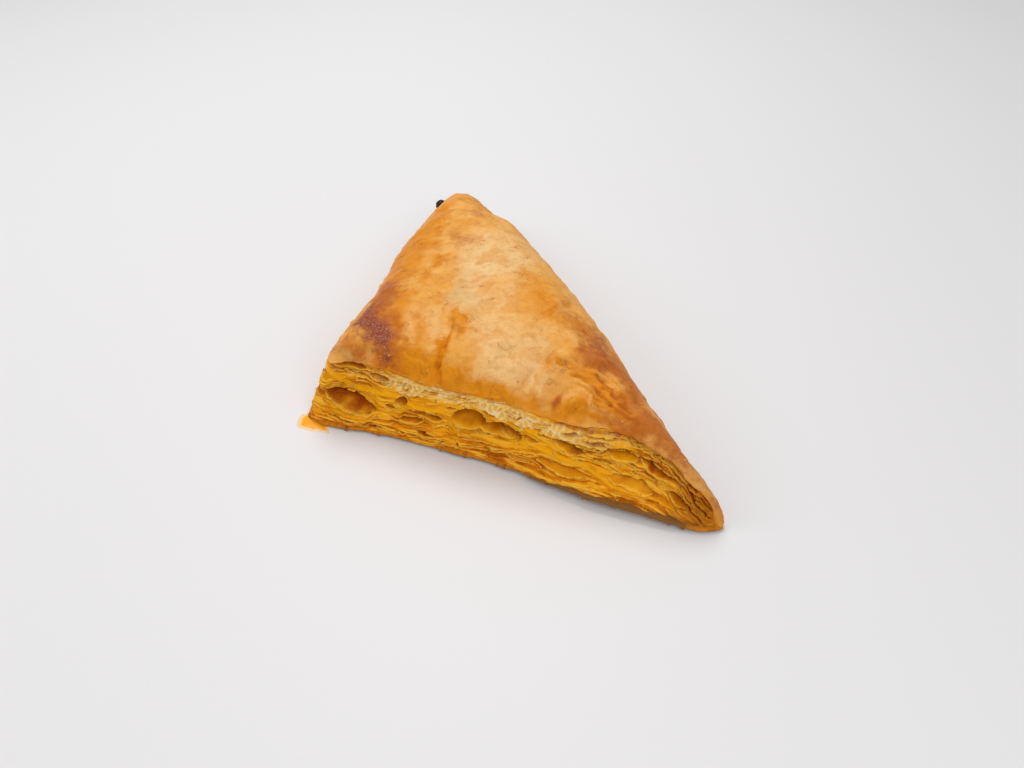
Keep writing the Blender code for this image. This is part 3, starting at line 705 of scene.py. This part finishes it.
def foam_under_crust(length, v, flat, field):
    """The pale foam under the crust, with a scalloped lower border, and the walls of its cells."""
    places, shares, paleness = zip(*FOAM_BAND)
    lower = np.interp(length, places, shares)
    lower += 0.030 * np.abs(np.sin(length / 3.1 + 1.4 * noise(on_line(length), 9, 63)))
    patches = np.interp(length, places, paleness) * np.clip(1.05 + 0.6 * field(5.0, 80, 2), 0.55, 1.0)
    # Next to the crust the foam has browned.
    browned = np.interp(length, (20, 60, 72), (0.2, 0.4, 0.7))
    patches *= 1.0 - smooth(0.86, 0.93, v + 0.02 * field(3.0, 81, 2)) * browned
    foam = smooth(lower - 0.010, lower + 0.010, v + 0.014 * field(2.0, 64)) * patches
    swayed = 0.5 * np.column_stack([noise(flat, 2.0, 70), noise(flat, 2.0, 71)])
    walls = cell_walls(flat * (1.0, FOAM_STRETCH) + swayed, FOAM_CELL, 76)
    return foam, walls.reshape(v.shape)


def leafed(along, v, layer, flat, field):
    """Single leaves of a cut edge: rounded edge, how far each and each bundle of three stands out, gaps."""
    fan = TIP_FAN * smooth(104, 124, along) * (1 - v)
    run = LEAF_COUNT * ((layer + fan) * (1 + 0.08 * field(22, 65, 2)) + 0.006 * field(3.0, 66, 2))
    part = run - np.floor(run)

    def own_line(bundled, seed, apart):
        # Each leaf starts its own pattern somewhere else along the edge, so that no two end side by side.
        leaf = np.floor(run / bundled).ravel()
        shift = 40.0 * scramble(leaf[:, None].astype(int), seed)
        return np.column_stack([flat[:, 0] + shift, apart * leaf])

    own, shared = own_line(1, 7, 37.0), own_line(3, 8, 53.0)
    stands = (0.7 * noise(own, 6.0, 69) + 0.4 * noise(own, 1.9, 66)).reshape(v.shape)
    stands_together = noise(shared, 9.0, 67).reshape(v.shape)
    gapes = smooth(-0.10, 0.45, noise(own, 5.5, 75) + 0.25 * noise(own, 1.7, 77)).reshape(v.shape)
    gapes *= smooth(0.52, 0.74, part) * (1 - smooth(0.90, 1.0, part))
    return np.sqrt(np.clip(4 * part * (1 - part), 0, 1)), stands, stands_together, gapes


def make_layers(material):
    """The opened layers of both cut edges, from the apex round the square corner to the tip."""
    steps = (FRONT_COLUMNS, FOLD_COLUMNS, LEFT_COLUMNS)
    order = np.r_[FRONT_COLUMNS + FOLD_COLUMNS : sum(steps), 0 : FRONT_COLUMNS + 1]
    base, rim = border(BASE, steps), border(RIM, steps)
    outward = outward_of(0.5 * (base + rim), 7)[order]
    base, rim = base[order], rim[order]
    length = run_of(base[:, :2])
    length -= length[LEFT_COLUMNS]
    along, v = np.meshgrid(length, np.linspace(0.0, 0.985, LAYER_ROWS))
    height = np.broadcast_to(np.linalg.norm(rim - base, axis=1), v.shape)
    flat = np.column_stack([along.ravel(), (v * height).ravel()])
    apex = length[0]

    def field(size, seed, octaves=3):
        return cloud(flat, size, seed, octaves).reshape(v.shape)

    draw = random.Random(FINE_SEED)
    hollows = FRONT_HOLLOWS + random_hollows(draw, apex + 6, -4, LEFT_HOLLOWS, LEFT_HOLLOW_SIZES)
    hollows += random_hollows(draw, apex + 3, 126, FINE_HOLLOWS, FINE_HOLLOW_SIZES)
    layer, mouths, deep, painted_shade, floor_light, rims = opened(along, v, height, hollows)
    sheet, yellow = waxy_sheets(length, v)
    foam, walls = foam_under_crust(length, v, flat, field)
    edge, stands, stands_together, gapes = leafed(along, v, layer, flat, field)
    # The leaves leave the sheets and the hollows smooth, and stand furthest apart at the tip.
    ease = (1.0 - 0.85 * np.clip(sheet / 0.5, 0, 1)) * (1.0 - mouths)
    gapes = gapes * ease * (1.0 - 0.6 * foam)
    apart = 1.0 + 0.9 * smooth(110, 122, along)
    leaves = (0.26 * edge + 0.34 * stands * apart + 0.65 * stands_together) * ease * (1.0 - 0.6 * foam)

    under = np.interp(length, *zip(*UNDERSIDE))
    below = smooth(0.0, 1.0, (under - v) / np.maximum(under, 0.01))
    relief = 0.3 + 0.35 * field(12, 72) + leaves - 0.9 * gapes * apart + sheet + 0.55 * rims
    relief += 0.06 * field(1.1, 73) + foam * (0.40 * walls - 0.25 + 0.35 * field(3.4, 68, 2))
    relief += 0.35 * mouths * field(2.5, 78, 2) - 0.7 * below - 1.4 * smooth(0.95, 1.0, v)
    ends = smooth(apex + 2, apex + 12, along)
    ends = ends * (1.0 - smooth(118, 127, along) * 0.25 - smooth(126, 131, along) * 0.5)
    corner = 0.55 + 0.45 * smooth(0.0, 3.5, np.abs(along))
    out = (relief - 0.5 + EDGE_OUT * (1 - smooth(95, 108, along)) - deep) * ends * corner
    out -= 0.8 * (1 - smooth(apex + 1, apex + 7, along)) + 0.9 * smooth(126, 130, along)
    points = base + (rim - base) * v[..., None] + outward * out[..., None]
    points[..., 2] = np.maximum(points[..., 2] + 0.10 * field(2.5, 74) * smooth(0, 0.05, v), 0.2)

    bright = np.interp(length, (62, 72, 98, 108), (0, 1, 1, 0)) * smooth(0.36, 0.5, v) * (1 - foam)
    # Leaves that stand out are painted lighter and leaves set back darker, as painted light and shade, over a
    # random change of tone.
    tone = (1.4 * stands_together + 0.9 * stands) * ease + 0.5 * field(9, 79, 2)
    toast = 0.75 * smooth(102, 126, along) + 0.8 * smooth(0.955, 0.985, v) + 0.4 * (1 - smooth(0.0, 0.06, v))
    toast += 0.35 * smooth(0.84, 0.90, v) * (1 - foam) + 0.35 * (1 - smooth(apex + 4, apex + 25, along))
    masks = {
        "foam": foam,
        "walls": walls * foam,
        "lit": tone + 0.2,
        "dull": -tone,
        # Yellow is the waxy sheets' own colour and the yellow stretch of the edge, with painted light on the
        # floors of hollows.
        "yellow": np.maximum(yellow, 0.8 * floor_light * smooth(0.30, 0.45, v)) + 0.55 * bright,
        # Hollows, the gaps between leaves and deep places are painted darker, as painted shade.
        "painted_shade": np.maximum(painted_shade, 0.95 * gapes) + 0.25 * smooth(2.5, 6.0, deep),
        # Thin pale rims round the hollows, and painted highlights on the rounded edges of leaves that stand
        # out.
        "rims": np.maximum(1.1 * rims, 0.75 * edge * smooth(-0.1, 0.5, stands) * ease) * (1 - gapes),
        "soaked": (1.2 - v / 0.45) * (1 - 0.4 * floor_light),
        # The underside band is its own brown, painted darker and greyer as shade.
        "under": below,
        "toast": toast,
    }
    masks = {name: np.clip(mask, 0.0, 1.0) for name, mask in masks.items()}
    # Crumbs cling to the torn edges of the leaves and to the lower border.
    crumbly = (1.2 * rims + 0.3 * foam + 0.8 * (1 - smooth(0.02, 0.12, v))) * (1 - mouths) * ends
    crumbly = np.clip(crumbly, 0, 1).ravel()
    strew_crumbs("pastry_crumbs", points.reshape(-1, 3), grid_faces(*v.shape)[1], crumbly, CRUMBS, material)
    # The back wall stands well inside the puff, and closer where the puff tapers off at its ends.
    thick = np.interp(length, [apex, apex + 12, 95, 107, 119, 126], [2.5, 9.0, 9.0, 5.0, 2.0, 0.8])
    inward = -outward * thick[:, None]
    # The two cut edges are one surface, shared out between two pieces at the square corner.
    split = LEFT_COLUMNS - 20
    for name, part in (("left_layers", slice(0, split + 1)), ("front_layers", slice(split, len(length)))):
        part_masks = {key: mask[:, part].ravel() for key, mask in masks.items()}
        close_layers(name, points[:, part], inward[part], part_masks, material)


def close_layers(name, points, inward, masks, material):
    """Closes a stretch of the layers with a back wall inside the puff, and makes it a piece."""
    rows, columns = points.shape[:2]
    grid, faces = grid_faces(rows, columns)
    closing = len(faces)
    low = rows * columns + np.arange(columns)
    high = low + columns
    for upper, under in ((grid[0], low), (low, high), (high, grid[-1])):
        faces += np.stack([under[:-1], under[1:], upper[1:], upper[:-1]], axis=-1).tolist()
    for column, turn in ((0, 1), (-1, -1)):
        side = [*grid[:, column], high[column]]
        faces += [[low[column], a, b][::turn] for a, b in zip(side[:-1], side[1:])]
    back = [points[0] + inward + (0, 0, 1.0), points[-1] + inward + (0, 0, -1.5)]
    make_piece(name, np.vstack([points.reshape(-1, 3)] + back), faces, material, masks, closing)


def make_base(material):
    """The bottom crust: a thin slab with a ragged border, lifted round the flat foot."""
    steps = (420, 180, 300)
    base, foot = border(BASE, steps), border(FOOT, steps)
    outward = outward_of(base, 5)
    along = run_of(base)
    line = on_line(along)
    teeth = np.clip(noise(line, 1.3, 82) + 0.3 * noise(line, 0.7, 83), 0, 1)
    ragged = 0.35 * cloud(line, 5.0, 81) + 0.9 * teeth**2
    cut = np.repeat([1.0, 0.0, 1.0], steps)
    cut = np.convolve(np.concatenate([cut[-20:], cut, cut[:20]]), np.ones(41) / 41, "valid")
    reach = EDGE_OUT * np.where(along < 140, 1.0 - 1.2 * smooth(92, 106, along), 1.0)
    # At the square corner the base is worn round.
    reach -= 1.3 * np.exp(-((np.minimum(along, along[-1] - along) / 5.0) ** 2))
    rings = []
    for out, lift in BASE_PROFILE:
        at_border = cut * (out > -0.5)
        stands = out + (0.35 + reach) * cut + ragged * at_border - 0.6 * (1 - cut)
        row = base + outward * stands[:, None]
        row[:, 2] = np.maximum(row[:, 2] + lift - 0.4 * teeth * at_border, 0.05)
        rings.append(row)
    middle = foot.mean(axis=0)
    rings += [foot + (middle - foot) * t for t in (0.0, 0.3, 0.7)]
    points = np.vstack(rings + [middle, rings[0].mean(axis=0) + (0, 0, 1.0)])
    count, hub, top = len(base), len(points) - 2, len(points) - 1
    last = (len(rings) - 1) * count
    faces = tube_faces(count, len(rings))
    faces += [(last + k, hub, last + (k + 1) % count) for k in range(count)]
    faces += [(k, (k + 1) % count, top) for k in range(count)]
    # The underside of the base is its own brown, painted darker and greyer as shade.
    under = np.append(np.repeat((0, 0, 0, 0.4, 0.8, 1, 1, 1, 1), count), (1.0, 0.0))
    # Along the lifted front border the base is painted dark grey-brown as shade, and its ragged teeth darker
    # as well.
    border_shade_and_teeth = np.clip(np.interp(along, [60, 84, 118, 124], [0, 1, 1, 0.2]) + 0.8 * teeth, 0, 1)
    masks = {"under": under, "border_shade_and_teeth": np.tile(border_shade_and_teeth, len(rings))}
    make_piece("base_crust", points, faces, material, masks)


def make_bead(material):
    """The scorched bead of filling on the left edge: a lumpy drop, half sunk in the layers."""
    ball = bmesh.new()
    bmesh.ops.create_icosphere(ball, subdivisions=4, radius=1.0)
    points = np.array([v.co[:] for v in ball.verts])
    faces = [tuple(v.index for v in f.verts) for f in ball.faces]
    ball.free()
    lumps = 1.0 + 0.22 * cloud(points, 0.9, 91)
    points = points * lumps[:, None] * BEAD_HALF + BEAD_PLACE
    make_piece("scorched_bead", points, faces, material)


def crumb_nodes(material):
    """Geometry nodes that strew small uneven crumbs over a surface, each lying on it, turned at random."""
    tree = bpy.data.node_groups.new("strewn_crumbs", "GeometryNodeTree")
    sizes = {"Surface": "Geometry", CRUMB_DENSITY: "Float", "Width": "Float", "Flatness": "Float",
             "Seed": "Int"}
    for name, kind in sizes.items():
        tree.interface.new_socket(name, in_out="INPUT", socket_type="NodeSocket" + kind)
    tree.interface.new_socket("Crumbs", in_out="OUTPUT", socket_type="NodeSocketGeometry")
    given = add(tree, "NodeGroupInput").outputs
    width = given["Width"]
    wanted = add(tree, "GeometryNodeInputNamedAttribute", {"Name": "crumbly"}, data_type="FLOAT").outputs[0]
    density = add(tree, "ShaderNodeMath", {0: wanted, 1: given[CRUMB_DENSITY]}, operation="MULTIPLY")
    spots = add(tree, "GeometryNodeDistributePointsOnFaces",
                {"Mesh": given["Surface"], "Density": density.outputs[0], "Seed": given["Seed"]}).outputs
    grain = add(tree, "GeometryNodeMeshIcoSphere", {"Radius": 0.5, "Subdivisions": 1}).outputs["Mesh"]
    span = add(tree, "FunctionNodeRandomValue",
               {"Min": (0.4, 0.3, 0.5), "Max": (1.4, 0.9, 1.1), "Seed": given["Seed"]},
               data_type="FLOAT_VECTOR").outputs[0]
    flat = add(tree, "ShaderNodeCombineXYZ", {"X": 1.0, "Y": 1.0, "Z": given["Flatness"]}).outputs[0]
    span = add(tree, "ShaderNodeVectorMath", {0: span, 1: flat}, operation="MULTIPLY").outputs[0]
    span = add(tree, "ShaderNodeVectorMath", {0: span, "Scale": width}, operation="SCALE").outputs[0]
    laid = add(tree, "GeometryNodeInstanceOnPoints",
               {"Points": spots["Points"], "Instance": grain, "Rotation": spots["Rotation"], "Scale": span})
    other = add(tree, "ShaderNodeMath", {0: given["Seed"], 1: 1.0}, operation="ADD").outputs[0]
    turn = add(tree, "FunctionNodeRandomValue",
               {"Min": (-0.3, -0.3, 0.0), "Max": (0.3, 0.3, 2 * math.pi), "Seed": other},
               data_type="FLOAT_VECTOR").outputs[0]
    laid = add(tree, "GeometryNodeRotateInstances",
               {"Instances": laid.outputs[0], "Rotation": turn}).outputs[0]
    laid = add(tree, "GeometryNodeRealizeInstances", {"Geometry": laid}).outputs[0]
    # Each crumb is pushed out of shape by noise about as wide as itself.
    off = add(tree, "ShaderNodeTexNoise",
              {"Scale": 1.0 / (CRUMB_WIDTH * MM), "Detail": 1.0}).outputs["Color"]
    off = add(tree, "ShaderNodeVectorMath", {0: off, 1: (0.5, 0.5, 0.5)}, operation="SUBTRACT").outputs[0]
    off = add(tree, "ShaderNodeVectorMath", {0: off, "Scale": width}, operation="SCALE").outputs[0]
    laid = add(tree, "GeometryNodeSetPosition", {"Geometry": laid, "Offset": off}).outputs[0]
    laid = add(tree, "GeometryNodeSetMaterial", {"Geometry": laid, "Material": material}).outputs[0]
    add(tree, "NodeGroupOutput", {"Crumbs": laid})
    return tree


def strew_crumbs(name, points, faces, crumbly, kind, material):
    """Crumbs of a kind over a surface, more of them where it is crumbly, made into one plain mesh."""
    per_square_cm, flatness, seed = kind
    data = bpy.data.meshes.new("carrier")
    data.from_pydata(((points + SHIFT) * MM).tolist(), [], faces)
    data.attributes.new("crumbly", "FLOAT", "POINT").data.foreach_set("value", crumbly.astype(np.float32))
    piece = bpy.data.objects.new(name, data)
    bpy.context.scene.collection.objects.link(piece)
    modifier = piece.modifiers.new("crumbs", "NODES")
    modifier.node_group = crumb_nodes(material)
    values = {CRUMB_DENSITY: per_square_cm * 1e4, "Width": CRUMB_WIDTH * MM, "Flatness": flatness,
              "Seed": seed}
    for item in modifier.node_group.interface.items_tree:
        if item.name in values:
            modifier[item.identifier] = values[item.name]
    depsgraph = bpy.context.evaluated_depsgraph_get()
    strewn = bpy.data.meshes.new_from_object(piece.evaluated_get(depsgraph))
    piece.modifiers.remove(modifier)
    piece.data = strewn
    bpy.data.meshes.remove(data)
    strewn.name = name
    keep_piece(piece)


def make_oil(material):
    """A thin film of orange cooking oil that has run out at the square corner."""
    rings, count = 14, 96
    middle, reach, thick = np.array((3.0, -1.2, 0.0)), np.array((5.8, 4.2, 0.0)), 0.3
    angle = np.linspace(0, 2 * math.pi, count, endpoint=False)
    round_it = np.column_stack([np.cos(angle), np.sin(angle), 0 * angle])
    edge = 1.0 + 0.26 * cloud(round_it, 0.6, 95)
    shares = np.arange(1, rings + 1) / rings
    rises = thick * (1 - shares**2) + 0.02
    rows = [middle + round_it * reach * (t * edge)[:, None] + (0, 0, rise) for t, rise in zip(shares, rises)]
    below = [rows[-1] * (1, 1, 0) + (0, 0, 0.005), middle + (0, 0, 0.005)]
    points = np.vstack([middle + (0, 0, thick + 0.02)] + rows + below)
    last, hub = 1 + rings * count, len(points) - 1
    faces = [(0, 1 + k, 1 + (k + 1) % count) for k in range(count)]
    faces += tube_faces(count, rings + 1, 1)
    faces += [(last + k, hub, last + (k + 1) % count) for k in range(count)]
    thin = np.concatenate([[0.0], np.repeat(smooth(0.45, 1.0, shares), count), np.ones(count + 1)])
    make_piece("oil_film", points, faces, material, {"thin": thin})


def add(tree, kind, inputs=None, **settings):
    """Adds a node with its settings, sets or links its inputs, and gives it back."""
    made = tree.nodes.new(kind)
    for name, value in settings.items():
        setattr(made, name, value)
    for name, value in (inputs or {}).items():
        if isinstance(value, bpy.types.NodeSocket):
            tree.links.new(value, made.inputs[name])
        else:
            made.inputs[name].default_value = value
    return made


def start_material(name):
    """A new material: its node tree, its shader and the place on the piece in metres."""
    material = bpy.data.materials.new(name)
    material.use_nodes = True
    tree = material.node_tree
    shader = tree.nodes["Principled BSDF"]
    place = add(tree, "ShaderNodeTexCoord").outputs["Object"]
    return material, tree, shader, place


def patterns(tree, place, masks, grains, ranges, borders):
    """Where coats of colour lie, by name.

    Masks are read from the piece. A grain is spots in the stuff itself: (width of a spot in mm, detail,
    warp). A range is a stretch of a grain: (grain, from, to). A border breaks a mask up by a grain, by so
    much sway, and draws it from low to high: (grain, low, high, sway).
    """
    found = {name: add(tree, "ShaderNodeAttribute", attribute_name=name).outputs["Fac"] for name in masks}
    for name, (width, detail, warp) in grains.items():
        spots = {"Vector": place, "Scale": 1.0 / (width * MM), "Detail": detail,
                 "Roughness": 0.58, "Distortion": warp}
        found[name] = add(tree, "ShaderNodeTexNoise", spots).outputs["Fac"]
    for name, (grain, low, high) in ranges.items():
        stretch = {"Value": found[grain], "From Min": low, "From Max": high}
        found[name] = add(tree, "ShaderNodeMapRange", stretch).outputs[0]
    for name, (grain, low, high, sway) in borders.items():
        swayed = {0: found[grain], 1: sway, 2: found[name]}
        moved = add(tree, "ShaderNodeMath", swayed, operation="MULTIPLY_ADD")
        drawn = {"Value": moved.outputs[0], "From Min": low + sway / 2, "From Max": high + sway / 2}
        found[name] = add(tree, "ShaderNodeMapRange", drawn, interpolation_type="SMOOTHSTEP").outputs[0]
    return found


def coloured(tree, found, ground, coats):
    """Coats of colour over a ground: each coat is (name of where it lies, strength, hex colour)."""
    colour = linear(ground)
    for name, strength, code in coats:
        share = add(tree, "ShaderNodeMath", {0: found[name], 1: strength}, operation="MULTIPLY").outputs[0]
        mixed = {0: share, 6: colour, 7: linear(code)}
        colour = add(tree, "ShaderNodeMix", mixed, data_type="RGBA").outputs[2]
    return colour


def finish_pastry(tree, shader, colour, coarse, fine, bump_mm, depth, shine=0.14):
    """What all baked pastry here shares: fine relief, and a fat-filled starch body that lets light in."""
    tree.links.new(colour, shader.inputs["Base Color"])
    height = add(tree, "ShaderNodeMath", {0: fine, 1: 0.4, 2: coarse}, operation="MULTIPLY_ADD").outputs[0]
    bump = add(tree, "ShaderNodeBump", {"Height": height, "Strength": 0.6, "Distance": bump_mm * MM})
    tree.links.new(bump.outputs[0], shader.inputs["Normal"])
    shader.inputs["IOR"].default_value = 1.46
    shader.inputs["Specular IOR Level"].default_value = shine
    shader.inputs["Subsurface Weight"].default_value = depth
    shader.inputs["Subsurface Radius"].default_value = (1.0, 0.45, 0.15)
    shader.inputs["Subsurface Scale"].default_value = 1.2 * MM


def crust_material():
    # Puff pastry crust, baked and egg-glazed: matt golden skin that shines softly where fat has fried it,
    # with thin patches of lifted skin, brown where it is thin or high, and fine blisters where it has burnt.
    material, tree, shader, place = start_material("baked_puff_pastry_crust")
    masks = ("pale", "orange", "brown", "burnt", "dull", "crumb", "folded")
    grains = {
        "broad": (16, 3, 0.5), "patchy": (6, 5, 0.5), "mottle": (2, 5, 0.3), "speck": (0.55, 2, 0.0),
        "skin": (12, 4, 0.8), "spotty": (8, 3, 0.9),
    }
    ranges = {
        "shown": ("patchy", 0.47, 0.62), "inner": ("skin", 0.48, 0.52), "warm": ("patchy", 0.40, 0.64),
        "drift": ("broad", 0.36, 0.62), "light": ("speck", 0.52, 0.72), "dim": ("mottle", 0.52, 0.70),
        "blotch": ("spotty", 0.50, 0.58),
    }
    borders = {
        "burnt": ("mottle", 0.1, 0.95, 1.0), "orange": ("patchy", 0.15, 0.85, 0.9),
        "folded": ("patchy", 0.0, 1.0, 0.5), "pale": ("patchy", 0.0, 1.0, 0.9),
        "brown": ("mottle", 0.05, 1.05, 0.8), "dull": ("patchy", 0.0, 1.0, 0.9),
    }
    found = patterns(tree, place, masks, grains, ranges, borders)
    # The edges of the lifted skin show as thin darker lines, like a map, which come and go.
    off = add(tree, "ShaderNodeMath", {0: found["skin"], 1: 0.5}, operation="SUBTRACT").outputs[0]
    off = add(tree, "ShaderNodeMath", {0: off}, operation="ABSOLUTE").outputs[0]
    close = {"Value": off, "From Min": 0.0, "From Max": 0.008, "To Min": 1.0, "To Max": 0.0}
    found["line"] = add(tree, "ShaderNodeMapRange", close).outputs[0]
    # Burnt skin has pale pink blisters, painted as pale pink specks that also stand in for small glints, and
    # where fat has fried it the crust has gone russet in spots.
    joined = [("line", "line", "shown"), ("pink_blister_glints", "light", "burnt"), ("russet", "orange", "warm"),
              ("russet", "russet", "blotch")]
    for name, one, other in joined:
        both = add(tree, "ShaderNodeMath", {0: found[one], 1: found[other]}, operation="MULTIPLY")
        found[name] = both.outputs[0]
    colour = coloured(tree, found, "EAA94C", [
        ("drift", 0.45, "E29326"), ("inner", 0.30, "F4C078"), ("folded", 0.8, "E29A4C"),
        ("pale", 0.95, "ECC68C"), ("warm", 0.42, "E2902A"), ("blotch", 0.38, "D88618"),
        ("dull", 0.55, "CDA662"), ("light", 0.25, "F4C88A"), ("orange", 0.95, "DE8800"),
        ("russet", 0.45, "B86206"), ("dim", 0.32, "C47618"), ("line", 0.75, "A85C0C"),
        ("brown", 0.92, "B45A12"), ("burnt", 0.9, "8C422A"), ("pink_blister_glints", 0.65, "D8A292"),
        ("crumb", 1.0, "DE9A1C"),
    ])
    mottle = found["mottle"]
    oily = {0: found["orange"], 1: -0.14, 2: 0.46}
    gloss = add(tree, "ShaderNodeMath", oily, operation="MULTIPLY_ADD").outputs[0]
    gloss = add(tree, "ShaderNodeMath", {0: mottle, 1: 0.16, 2: gloss}, operation="MULTIPLY_ADD").outputs[0]
    tree.links.new(gloss, shader.inputs["Roughness"])
    cut = {0: found["line"], 1: -0.5, 2: mottle}
    sunk = add(tree, "ShaderNodeMath", cut, operation="MULTIPLY_ADD").outputs[0]
    finish_pastry(tree, shader, colour, sunk, found["speck"], 0.45, 0.12)
    return material


def layers_material():
    # Inner layers of puff pastry, torn open by steam: thin waxy yellow leaves, soaked orange with oil lower
    # down and pale and foamy under the crust. Fat makes the leaves gleam and lets light through them.
    # Hollows, gaps, the underside and leaves set back carry painted shade; hollow floors and leaves and edges
    # that stand out carry painted light.
    material, tree, shader, place = start_material("opened_pastry_layers")
    masks = ("foam", "walls", "lit", "dull", "yellow", "painted_shade", "rims", "soaked", "under", "toast")
    grains = {"patchy": (4, 4, 0.3), "mottle": (1.4, 4, 0.3), "speck": (0.5, 2, 0.0)}
    borders = {
        "soaked": ("patchy", 0.2, 0.8, 0.7), "yellow": ("patchy", 0.2, 0.8, 0.6),
        "lit": ("mottle", 0.1, 0.9, 0.6), "dull": ("mottle", 0.1, 0.9, 0.6),
        "foam": ("mottle", 0.2, 0.8, 0.6), "walls": ("mottle", 0.0, 1.0, 0.6),
        "rims": ("mottle", 0.1, 0.9, 0.5), "toast": ("mottle", 0.2, 0.9, 0.6),
        "painted_shade": ("mottle", 0.05, 0.95, 0.5),
    }
    found = patterns(tree, place, masks, grains, {"light": ("speck", 0.52, 0.72)}, borders)
    colour = coloured(tree, found, "E29206", [
        ("soaked", 1.0, "DE8000"), ("yellow", 1.0, "F2A804"), ("lit", 0.75, "FFB41A"),
        ("dull", 0.8, "AC5600"), ("foam", 1.0, "E8B658"), ("walls", 0.75, "FFE4AC"),
        ("light", 0.25, "F8BE38"), ("rims", 0.75, "FFC244"), ("toast", 0.75, "AE5A08"),
        ("painted_shade", 0.92, "A44000"), ("under", 1.0, "8E6C46"),
    ])
    gloss = add(tree, "ShaderNodeMath", {0: found["mottle"], 1: 0.25, 2: 0.32}, operation="MULTIPLY_ADD")
    tree.links.new(gloss.outputs[0], shader.inputs["Roughness"])
    finish_pastry(tree, shader, colour, found["mottle"], found["speck"], 0.2, 0.25, 0.07)
    return material


def base_material():
    # Bottom crust of puff pastry, fried in its own fat on the tray: brown and dry underneath, orange and
    # oily at the border. Underneath, and along the lifted front border, it is painted darker and greyer as
    # shade.
    material, tree, shader, place = start_material("browned_bottom_crust")
    grains = {"patchy": (7, 4, 0.3), "mottle": (1.6, 4, 0.3), "speck": (0.5, 2, 0.0)}
    borders = {"border_shade_and_teeth": ("mottle", 0.1, 0.9, 0.5), "under": ("mottle", 0.2, 0.8, 0.4)}
    found = patterns(tree, place, tuple(borders), grains, {"dim": ("mottle", 0.48, 0.62)}, borders)
    colour = coloured(tree, found, "D88204", [
        ("dim", 0.5, "A05A04"), ("border_shade_and_teeth", 0.85, "70502A"), ("under", 1.0, "8E6C46"),
        ("patchy", 0.25, "8A5C30"),
    ])
    shader.inputs["Roughness"].default_value = 0.6
    finish_pastry(tree, shader, colour, found["mottle"], found["speck"], 0.2, 0.1)
    return material


def bead_material():
    # Spiced filling that has boiled out and charred: near black with a dark red cast and a sticky gloss.
    material, tree, shader, place = start_material("charred_filling")
    found = patterns(tree, place, (), {"mottle": (0.8, 3, 0.0), "speck": (0.3, 2, 0.0)}, {}, {})
    colour = coloured(tree, found, "2A1216", [("mottle", 0.5, "5A2A28")])
    shader.inputs["Roughness"].default_value = 0.32
    finish_pastry(tree, shader, colour, found["mottle"], found["speck"], 0.15, 0.0)
    return material


def oil_material():
    # Cooking oil coloured by turmeric and chilli: a bright orange-yellow film that thins out to pale yellow.
    material, tree, shader, place = start_material("spiced_cooking_oil")
    borders = {"thin": ("patchy", 0.3, 1.0, 0.5)}
    found = patterns(tree, place, tuple(borders), {"patchy": (2.5, 2, 0.0)}, {}, borders)
    colour = coloured(tree, found, "F6A200", [("patchy", 0.4, "FFB810"), ("thin", 0.85, "F4DEB0")])
    tree.links.new(colour, shader.inputs["Base Color"])
    shader.inputs["Roughness"].default_value = 0.25
    shader.inputs["IOR"].default_value = 1.47
    shader.inputs["Specular IOR Level"].default_value = 0.25
    return material


# The photo's camera: its place and the way it looks, in millimetres from the square corner.
CAMERA_PLACE = (144.5, -187.0, 205.4)
CAMERA_FORWARD = (-0.2888, 0.7087, -0.6438)
FIELD_OF_VIEW = 55.0
LIGHTS = [
    # name, place, size and watts; each looks at the puff.
    ("key", (-220, 330, 640), 420, 2.6),
    ("fill", (320, -420, 460), 500, 1.5),
    ("side", (-520, -200, 420), 400, 0.8),
]
ROOM_LIGHT = 0.46


def make_camera():
    """The camera that the picture is taken with."""
    data = bpy.data.cameras.new("camera")
    data.sensor_width = 36.0
    data.lens = data.sensor_width / 2 / math.tan(math.radians(FIELD_OF_VIEW / 2))
    data.clip_start = 0.01
    camera = bpy.data.objects.new("camera", data)
    camera.location = (np.array(CAMERA_PLACE) + SHIFT) * MM
    camera.rotation_euler = Vector(CAMERA_FORWARD).to_track_quat("-Z", "Y").to_euler()
    bpy.context.scene.collection.objects.link(camera)
    bpy.context.scene.camera = camera


def make_floor():
    """A wide pale floor."""
    half = 3.0
    corners = [(-half, -half, 0), (half, -half, 0), (half, half, 0), (-half, half, 0)]
    data = bpy.data.meshes.new("floor")
    data.from_pydata(corners, [], [(0, 1, 2, 3)])
    material, _, shader, _ = start_material("pale_floor")
    shader.inputs["Base Color"].default_value = linear("E4E3E4")
    shader.inputs["Roughness"].default_value = 0.55
    data.materials.append(material)
    floor = bpy.data.objects.new("floor", data)
    bpy.context.scene.collection.objects.link(floor)


def make_lights():
    """Three soft lamps and the light of the room."""
    target = Vector((0, 0, 0.01))
    for name, place, size, watts in LIGHTS:
        data = bpy.data.lights.new(name, "AREA")
        data.shape = "DISK"
        data.size = size * MM
        data.energy = watts
        light = bpy.data.objects.new(name, data)
        light.location = Vector(place) * MM
        light.rotation_euler = (target - light.location).to_track_quat("-Z", "Y").to_euler()
        bpy.context.scene.collection.objects.link(light)
    world = bpy.data.worlds.new("room")
    bpy.context.scene.world = world
    world.use_nodes = True
    world.node_tree.nodes["Background"].inputs["Color"].default_value = linear("F4F3F2")
    world.node_tree.nodes["Background"].inputs["Strength"].default_value = ROOM_LIGHT
    bpy.context.scene.view_settings.view_transform = "Standard"


make_crust(crust_material())
make_layers(layers_material())
make_base(base_material())
make_bead(bead_material())
make_oil(oil_material())
make_floor()
make_lights()
make_camera()
